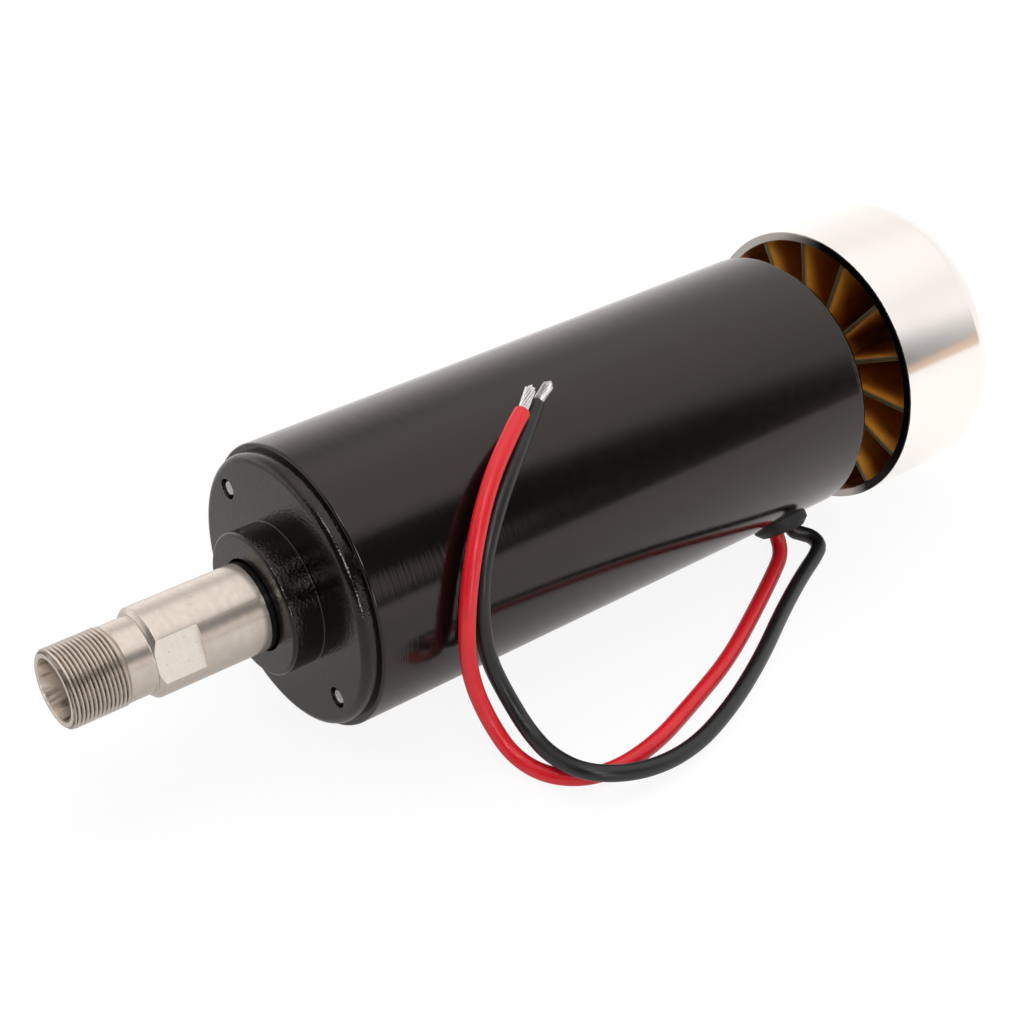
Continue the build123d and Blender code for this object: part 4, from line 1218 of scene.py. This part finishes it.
# ------------------------------------------------------------------------------------------- shaft
@dataclass
class SpindleShaft:
    """The shaft with its nose: thread, neck, shank, spanner flats and taper mouth."""

    nose_x: float = -43.4
    thread_end_x: float = -33.1
    thread_r: float = 7.0
    thread_depth: float = 0.42
    pitch: float = 0.75
    crest: Sequence[float] = (0.08, 0.46, 0.62)   # where the tooth rises, is full and falls, in pitches
    crest_over: float = 0.01       # the crests are cut back to the blank's own surface
    lead_in: float = 1.5           # turns that are wound before the nose, and then cut away
    trim: float = 0.3              # what the wound tooth keeps past each end of the blank
    thread_smooth: float = 20.0    # the tooth's crests and flanks shade apart over this many degrees
    nose_edge: float = 0.12
    facets: int = 120              # round the thread and its blank, so that the two meet point to point
    chamfer: float = 0.55
    neck_r: float = 6.8
    neck_edge: float = 0.35
    shoulder_x: float = -28.1
    shank_r: float = 8.0
    shank_edge: float = 0.8
    edge_blend: float = 0.15       # roundings of that chamfer's outer corner and of the neck's last one
    neck_blend: float = 0.2
    mouth_r: float = 5.6
    taper_depth: float = 13.0
    taper_small_r: float = 3.773
    drill_r: float = 3.5
    drill_end_x: float = -17.4
    drill_point: float = 2.1
    journals: Sequence[tuple[float, float]] = (   # where each step behind the shank ends, and its radius
        (11.5, 6.0), (106.5, 5.5), (119.5, 4.0), (150.8, 3.0),
    )
    shank_end_x: float = 2.0
    flat_angle: float = 164.6      # degrees from +Y, and then how far a flat is from the axis
    flat_distance: float = 7.0
    flat_end_x: float = -19.7
    cutter_over: float = 4.0       # how far the milling cutter runs out past the shoulder
    cutter_size: tuple[float, float] = (8.0, 24.0)   # its height and its width
    flat_square: float = 0.99      # a milled face is this square to the cutter, and this near to its depth
    flat_play: float = 0.05

    def bore_at(self, station: float) -> float:
        """Radius of the taper at a station."""
        depth = station - self.nose_x
        return self.mouth_r - (self.mouth_r - self.taper_small_r) * depth / self.taper_depth

    def thread(self) -> bpy.types.Object:
        """Winds one tooth of the thread along the nose.

        Returns:
            The threaded end, bored and chamfered.
        """
        root = self.thread_r - self.thread_depth
        turns = math.ceil((self.thread_end_x - self.nose_x) / self.pitch) + 3
        start = self.nose_x - self.lead_in * self.pitch
        rise, full, fall = [start + share * self.pitch for share in self.crest]
        tooth = draw_outline("nose_thread", [
            Corner(start, root), Corner(rise, root), Corner(full, self.thread_r + self.crest_over),
            Corner(fall, self.thread_r + self.crest_over), Corner(start + self.pitch, root),
        ], closed=False)
        bpy.ops.object.mode_set(mode="OBJECT")
        wind = tooth.modifiers.new("wind", "SCREW")
        wind.axis = "X"
        wind.angle = math.tau
        wind.screw_offset = self.pitch * MM
        wind.iterations = turns
        wind.steps = wind.render_steps = self.facets
        wind.use_merge_vertices = True
        wind.merge_threshold = TOUCH
        isolate(tooth)
        bpy.ops.object.modifier_apply(modifier=wind.name)
        close_shell(tooth)
        for station, inner in ((self.nose_x - self.trim, True), (self.thread_end_x + self.trim, False)):
            bpy.ops.object.mode_set(mode="EDIT")
            bpy.ops.mesh.select_all(action="SELECT")
            bpy.ops.mesh.bisect(
                plane_co=(station * MM, 0, 0), plane_no=(1, 0, 0), use_fill=True, clear_inner=inner,
                clear_outer=not inner, threshold=CUT_TOUCH,
            )
            bpy.ops.object.mode_set(mode="OBJECT")
        close_shell(tooth)
        blank = turn("nose_blank", [
            Corner(self.nose_x, self.mouth_r, self.nose_edge, 3),
            Corner(self.nose_x, self.thread_r - self.chamfer, self.nose_edge, 3),
            Corner(self.nose_x + self.chamfer, self.thread_r),
            Corner(self.thread_end_x, self.thread_r),
            Corner(self.thread_end_x, self.bore_at(self.thread_end_x)),
        ], steps=self.facets)
        work(tooth, blank, Solver.KEEP)
        return tooth

    def shank(self) -> bpy.types.Object:
        """Turns the shaft from the neck to its rear end and mills the spanner flats.

        Returns:
            The shaft without its thread.
        """
        start = self.thread_end_x
        station = self.shank_end_x
        steps = []
        for end, radius in self.journals:
            steps += [Corner(station, radius), Corner(end, radius)]
            station = end
        body = turn("shank", [
            Corner(self.drill_end_x + self.drill_point, 0), Corner(self.drill_end_x, self.drill_r),
            Corner(self.nose_x + self.taper_depth, self.drill_r),
            Corner(self.nose_x + self.taper_depth, self.taper_small_r),
            Corner(start, self.bore_at(start)), Corner(start, self.neck_r - self.neck_edge),
            Corner(start + self.neck_edge, self.neck_r),
            Corner(self.shoulder_x, self.neck_r, self.neck_blend, 3),
            Corner(self.shoulder_x, self.shank_r - self.shank_edge),
            Corner(self.shoulder_x + self.shank_edge, self.shank_r, self.edge_blend, 2),
            Corner(self.shank_end_x, self.shank_r), *steps, Corner(station, 0),
        ], closed=False)
        middle = (self.shoulder_x + self.flat_end_x - self.cutter_over) / 2
        high, wide = self.cutter_size
        for side in (0, 180):
            way = radial(self.flat_angle + side)
            place = (AXIS * middle + way * (self.flat_distance + high / 2)) * MM
            isolate()
            bpy.ops.mesh.primitive_cube_add(
                size=1, location=place, rotation=(math.radians(self.flat_angle + side), 0, 0),
                scale=((self.flat_end_x - self.shoulder_x + self.cutter_over) * MM, high * MM, wide * MM),
            )
            cutter = named("flat_cutter")
            bpy.ops.object.transform_apply(location=True, rotation=True, scale=True)
            work(body, cutter)
        return body

    def is_flat(self, face: bpy.types.MeshPolygon) -> bool:
        """Says whether a face of the shaft is on one of the spanner flats.

        Args:
            face: the face.

        Returns:
            Whether the cutter milled it.
        """
        way = radial(self.flat_angle)
        square = abs(face.normal.dot(way)) > self.flat_square
        deep = abs(abs(face.center.dot(way)) / MM - self.flat_distance) < self.flat_play
        return square and deep and face.center.x < self.flat_end_x * MM

    def build(self) -> None:
        """Makes the whole shaft."""
        body, thread = self.shank(), self.thread()
        soften(body, EDGE)
        soften(thread, smooth_below=self.thread_smooth)
        NOSE_STEEL.put_on(thread)
        NOSE_STEEL.put_on(body)
        body.data.materials.append(MILLED_STEEL.material())
        for face in body.data.polygons:
            if self.is_flat(face):
                face.material_index = 1
        shaft = joined("shaft", [body, thread])
        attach(shaft, "rotor")
        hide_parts("spindle_shaft")
        log.info("shaft with %d turns of thread", round((self.thread_end_x - self.nose_x) / self.pitch))


# ------------------------------------------------------------------------------------------- body
@dataclass
class MotorBody:
    """The tube, its two covers and the tie bolts."""

    tube_r: float = 26.0
    bore_r: float = 23.5
    front_x: float = 2.8
    rear_x: float = 115.5
    rim_r: float = 24.8
    rim_edge: float = 1.5
    tube_edge: float = 0.5
    tube_facets: int = 224
    spigot_r: float = 23.47
    spigot_x: float = 13.4         # how far the front cover reaches into the tube
    boss_r: float = 13.0
    boss_x: float = -6.0
    boss_edge: float = 0.6
    boss_foot: float = 0.2
    hole_edge: float = 0.3
    shaft_hole_r: float = 8.3
    bearing_r: float = 14.01       # the front bearing's seat, and the station of its shoulder
    bearing_x: float = 2.0
    rear_face_x: float = 118.0
    rear_spigot_x: float = 112.3
    rear_hole_r: float = 4.3
    rear_bearing_r: float = 11.01
    rear_bearing_x: float = 114.5
    rear_hub_r: float = 13.5
    rear_hub_x: float = 106.0
    facets: int = 192              # round the covers
    bolt_circle: float = 20.4
    bolt_angle: float = 41.4       # degrees from +Y
    bolt_r: float = 1.5
    bolt_play: float = 0.15
    mouth_r: float = 1.9           # the recess round each bolt's end, and its depth
    mouth: float = 1.0
    bolt_facets: int = 48
    head_r: float = 2.5
    head: float = 3.0
    head_foot: float = 0.15
    head_edge: float = 0.3
    head_seat_x: float = 114.8
    socket_r: float = 1.443        # over the corners of a 2.5 mm hexagon
    socket_x: float = 1.6
    bolt_x: float = 0.3            # station of the bolts' ends
    bolt_edge: float = 0.35
    dimple_r: float = 0.7          # the dimple in each end, and its depth
    dimple: float = 0.45
    hole: float = 15.0             # how far the front cover's holes are drilled from its face
    recess: float = 5.0            # and the rear cover's, both ways from the heads' seat
    grommet_drill: tuple[float, float] = (18.0, 12.0)   # from this radius, and for this length
    grommet_x: float = 105.2
    grommet_angle: float = -126.0
    grommet_hole_r: float = 4.41

    def tube(self) -> bpy.types.Object:
        """Turns the tube and drills the grommet's hole.

        Returns:
            The tube.
        """
        piece = turn("body_tube", [
            Corner(self.front_x, self.bore_r), Corner(self.front_x, self.tube_r, self.tube_edge, 4),
            Corner(self.rear_x, self.tube_r, self.tube_edge, 4), Corner(self.rear_x, self.bore_r),
        ], steps=self.tube_facets)
        way = radial(self.grommet_angle)
        inside, length = self.grommet_drill
        start = AXIS * self.grommet_x + way * inside
        work(piece, rod("grommet_drill", start, way, length, self.grommet_hole_r))
        soften(piece)
        TUBE_ENAMEL.put_on(piece)
        return piece

    def front(self) -> bpy.types.Object:
        """Turns the front cover with its boss and drills the bolt holes.

        Returns:
            The front cover.
        """
        piece = turn("nose_cover", [
            Corner(self.boss_x, self.shaft_hole_r, self.hole_edge, 3),
            Corner(self.boss_x, self.boss_r, self.boss_edge, 5),
            Corner(0, self.boss_r, self.boss_foot, 3), Corner(0, self.rim_r, self.rim_edge, 8),
            Corner(self.front_x, self.rim_r), Corner(self.front_x, self.spigot_r),
            Corner(self.spigot_x, self.spigot_r), Corner(self.spigot_x, self.bearing_r),
            Corner(self.bearing_x, self.bearing_r), Corner(self.bearing_x, self.shaft_hole_r),
        ], steps=self.facets)
        for side in (0, 180):
            way = radial(self.bolt_angle + side) * self.bolt_circle
            work(piece, rod("mouth_drill", way - AXIS * self.mouth, AXIS, 2 * self.mouth, self.mouth_r))
            work(piece, rod("hole_drill", way, AXIS, self.hole, self.bolt_r + self.bolt_play))
        soften(piece, EDGE)
        COVER_ENAMEL.put_on(piece)
        return piece

    def rear(self) -> bpy.types.Object:
        """Turns the rear cover and sinks the bolt heads' recesses.

        Returns:
            The rear cover.
        """
        piece = turn("tail_cover", [
            Corner(self.rear_bearing_x, self.rear_hole_r),
            Corner(self.rear_face_x, self.rear_hole_r, self.hole_edge, 3),
            Corner(self.rear_face_x, self.rim_r, self.rim_edge, 8), Corner(self.rear_x, self.rim_r),
            Corner(self.rear_x, self.spigot_r), Corner(self.rear_spigot_x, self.spigot_r),
            Corner(self.rear_spigot_x, self.rear_hub_r), Corner(self.rear_hub_x, self.rear_hub_r),
            Corner(self.rear_hub_x, self.rear_bearing_r), Corner(self.rear_bearing_x, self.rear_bearing_r),
        ], steps=self.facets)
        for side in (0, 180):
            way = radial(self.bolt_angle + side) * self.bolt_circle
            start = way + AXIS * self.head_seat_x
            work(piece, rod("head_drill", start, AXIS, self.recess, self.head_r + self.bolt_play))
            before = start - AXIS * self.recess
            work(piece, rod("rear_hole_drill", before, AXIS, self.recess + 1, self.bolt_r + self.bolt_play))
        soften(piece, EDGE)
        COVER_ENAMEL.put_on(piece)
        return piece

    def bolts(self) -> bpy.types.Object:
        """Makes the two tie bolts, each with a dimpled, chamfered end and a hexagon socket in its head.

        Returns:
            Both bolts, as one piece.
        """
        end = self.head_seat_x + self.head
        bolt = turn("tie_bolt", [
            Corner(self.bolt_x + self.dimple, 0), Corner(self.bolt_x, self.dimple_r),
            Corner(self.bolt_x, self.bolt_r - self.bolt_edge),
            Corner(self.bolt_x + self.bolt_edge, self.bolt_r),
            Corner(self.head_seat_x, self.bolt_r), Corner(self.head_seat_x, self.head_r, self.head_foot, 2),
            Corner(end, self.head_r, self.head_edge, 3), Corner(end, 0),
        ], closed=False, steps=self.bolt_facets)
        work(bolt, rod("socket", AXIS * (self.head_seat_x + self.socket_x), AXIS, self.head, self.socket_r, 6))
        soften(bolt, FINE_EDGE)
        bolt.data.transform(Matrix.Translation(radial(self.bolt_angle) * self.bolt_circle * MM))
        piece = joined("tie_bolt_pair", copies(bolt, 2, 180))
        ZINC.put_on(piece)
        return piece

    def build(self) -> None:
        """Makes the body."""
        for piece, node, slot in (
            (self.tube(), "housing_tube", "black_enamel"), (self.front(), "front_cover", "black_enamel"),
            (self.rear(), "rear_cover", "black_enamel"), (self.bolts(), "tie_bolts", "zinc_steel"),
        ):
            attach(piece, "stator")
            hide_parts(node)
            log.info("%s in place of %s", piece.name, node)


# ------------------------------------------------------------------------------------------- fan wheel
@dataclass
class FanWheel:
    """The polished cup and the impeller inside it.  The bush that carries both keeps its own solid."""

    cup_r: float = 28.0
    wall: float = 1.6
    front_x: float = 126.1
    rear_x: float = 151.6
    corner: float = 5.0
    lip_edge: float = 0.12
    bush_hole_r: float = 4.51
    bush_hole_edge: float = 0.2
    cup_facets: int = 224
    blades: int = 15
    phase: float = 82.1            # degrees from +Y to the first blade
    blade_thickness: float = 1.2
    blade_taper: float = 0.8       # a blade's front edge is this share of its thickness
    blade_edge: float = 0.3
    sink: float = 0.4              # how far the blades stand back from the cup's lip
    hub_r: float = 8.5
    hub_rise: float = 3.0          # and how far the hub does
    hub_edge: float = 0.8
    hub_foot: float = 0.6
    hub_facets: int = 120
    root: float = 1.0              # how far a blade reaches into the hub
    disc: float = 2.0
    disc_edge: tuple[float, float] = (0.5, 0.4)   # along the axis, and towards it
    disc_corner: float = 2.2       # the disc's back stops short here, where the cup's corner is round
    gap: float = 0.1               # between the impeller and the cup's wall
    clear: float = 0.5             # how far the trimming solid stands out in front of the blades
    seat: float = 0.02             # what keeps the impeller's faces off the cup's and the bush's
    bush_r: float = 5.5

    @property
    def floor_x(self) -> float:
        """Station of the inner face of the cup's floor."""
        return self.rear_x - self.wall

    @property
    def rim(self) -> float:
        """Radius of the impeller, just inside the cup."""
        return self.cup_r - self.wall - self.gap

    def cup(self) -> bpy.types.Object:
        """Turns the cup, open at the front.

        Returns:
            The cup.
        """
        bore_r = self.cup_r - self.wall
        piece = turn("fan_shroud", [
            Corner(self.front_x, self.cup_r, self.lip_edge, 3),
            Corner(self.rear_x, self.cup_r, self.corner, 12),
            Corner(self.rear_x, self.bush_hole_r, self.bush_hole_edge, 2),
            Corner(self.floor_x, self.bush_hole_r),
            Corner(self.floor_x, bore_r, self.corner - self.wall, 10),
            Corner(self.front_x, bore_r, self.lip_edge, 3),
        ], steps=self.cup_facets)
        soften(piece)
        CUP_STEEL.put_on(piece)
        return piece

    def blade(self) -> bpy.types.Object:
        """Shapes one blade, thinner towards its rounded front edge.

        Returns:
            The blade, at its place.
        """
        front = self.front_x + self.sink
        reach = self.rim - self.hub_r + self.root
        isolate()
        bpy.ops.mesh.primitive_cube_add(
            size=1,
            location=((front + self.floor_x) / 2 * MM, (self.hub_r - self.root + reach / 2) * MM, 0),
            scale=((self.floor_x - front) * MM, reach * MM, self.blade_thickness * MM),
        )
        piece = named("blade")
        bpy.ops.object.transform_apply(location=True, rotation=True, scale=True)
        pick_points(piece, lambda place: place.x < (front + self.blade_edge) * MM)
        bpy.ops.transform.resize(value=(1, 1, self.blade_taper), center_override=(front * MM, 0, 0))
        bpy.ops.mesh.bevel(offset=self.blade_edge * MM, segments=3)
        bpy.ops.object.mode_set(mode="OBJECT")
        piece.data.transform(Matrix.Rotation(math.radians(self.phase), 4, "X"))
        return piece

    def impeller(self) -> bpy.types.Object:
        """Makes the disc, the hub and the ring of blades, trimmed to the cup's round corner.

        Returns:
            The impeller.
        """
        before = self.front_x + self.sink - self.clear
        back = self.floor_x - self.seat
        disc_x = self.floor_x - self.disc
        hub_x = self.front_x + self.hub_rise
        edge_x, edge_r = self.disc_edge
        room = turn("impeller_room", [
            Corner(before, 0), Corner(before, self.rim), Corner(back, self.rim, self.corner - self.wall, 8),
            Corner(back, 0),
        ], closed=False, steps=self.hub_facets)
        wheel = joined("blade_ring", copies(self.blade(), self.blades, 360 / self.blades))
        work(wheel, room, Solver.KEEP)
        hub = turn("impeller_hub", [
            Corner(hub_x, self.bush_r + self.seat), Corner(hub_x, self.hub_r, self.hub_edge, 5),
            Corner(disc_x, self.hub_r, self.hub_foot, 4), Corner(disc_x, self.rim - edge_r),
            Corner(disc_x + edge_x, self.rim), Corner(back, self.rim - self.disc_corner),
            Corner(back, self.bush_r + self.seat),
        ], steps=self.hub_facets)
        soften(wheel)
        soften(hub)
        piece = joined("fan_blades", [wheel, hub])
        IMPELLER_NYLON.put_on(piece)
        return piece

    def build(self) -> None:
        """Makes the wheel."""
        for piece, node, slot in (
            (self.cup(), "fan_cup", "polished_steel"), (self.impeller(), "fan_impeller", "amber_plastic"),
        ):
            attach(piece, "rotor")
            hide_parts(node)
            log.info("%s in place of %s", piece.name, node)


# ------------------------------------------------------------------------------------------- inner works
@dataclass
class InnerWorks:
    """The pieces that keep their own solids, each with the finish of the real one.

    Finishes go by a part of a piece's name, and the first that fits counts.
    """

    finishes: dict[str, Finish] = field(default_factory=lambda: {
        "bearing_outer_ring": BEARING_STEEL, "bearing_inner_ring": BEARING_STEEL,
        "bearing_balls": BEARING_STEEL, "bearing_cage": ZINC, "bearing_shields": ZINC,
        "bearing_circlip": SPRING_STEEL, "wave_washer": SPRING_STEEL, "magnet": FERRITE,
        "armature_core": LAMINATION, "armature_insulators": FIBRE, "armature_windings": ENAMELLED_WIRE,
        "commutator_hub": PHENOLIC, "commutator_bars": COPPER_BARS, "brush_plate": RESIN_LAMINATE,
        "brush_holder": SHEET_BRASS, "brush_spring": SPRING_STEEL, "brush_": CARBON,
        "fan_bush": BUSH_ALLOY, "fan_grub_screw": BLACK_OXIDE, "cable_grommet": RUBBER,
    })

    def dress(self) -> None:
        """Puts a finish on every node that is still shown."""
        for name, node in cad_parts.items():
            finish = next((finish for part, finish in self.finishes.items() if part in name), None)
            if finish:
                finish.put_on(node)
                log.info("%s on %s", finish.name, name)


# Points of the two leads in millimetres, from inside the tube to the end of the vinyl.
RED_ROUTE = (
    (103.4, -14.1, -19.4), (103.4, -16.9, -23.3), (101.8, -19.6, -25.4), (96.6, -22.8, -25.9),
    (85.0, -29.7, -25.7), (70.0, -38.1, -25.5), (56.0, -43.6, -25.3), (43.0, -48.4, -25.0),
    (31.0, -49.5, -24.8), (23.6, -44.9, -24.7), (21.2, -36.9, -24.3), (19.6, -31.5, -18.0),
    (17.6, -29.4, -9.0), (17.2, -29.4, 1.5), (20.8, -26.9, 12.4), (28.4, -21.7, 20.9),
    (37.8, -16.6, 26.0), (41.1, -14.8, 26.8),
)
BLACK_ROUTE = (
    (107.0, -14.1, -19.4), (107.0, -16.9, -23.3), (108.6, -18.3, -23.9), (109.9, -20.2, -24.3),
    (109.4, -22.7, -24.9), (106.4, -24.3, -25.5), (100.4, -26.8, -26.0), (89.0, -33.0, -25.8),
    (75.0, -41.5, -25.6), (61.0, -48.6, -25.3), (47.5, -53.4, -25.0), (35.4, -54.4, -23.2),
    (26.0, -51.2, -21.0), (24.0, -43.6, -21.1), (24.4, -36.6, -20.0), (23.8, -31.4, -15.0),
    (22.0, -28.9, -8.0), (21.0, -28.5, 0.8), (23.3, -26.5, 10.0), (30.4, -22.3, 18.0),
    (40.6, -16.4, 23.8), (46.0, -12.5, 25.8),
)


def main() -> None:
    """Builds the studio, the leads and the spindle in order."""
    logging.basicConfig(level=logging.INFO, format="%(name)s: %(message)s")
    Studio().build()
    Lead("red", RED_VINYL, "red_pvc", RED_ROUTE, length=172.7, tip=(4.5, 2.9, 2.5)).build()
    Lead("black", BLACK_VINYL, "black_pvc", BLACK_ROUTE, length=184.2, tip=(3.4, 0.0, 3.2)).build()
    SpindleShaft().build()
    MotorBody().build()
    FanWheel().build()
    InnerWorks().dress()


if __name__ == "__main__":
    main()
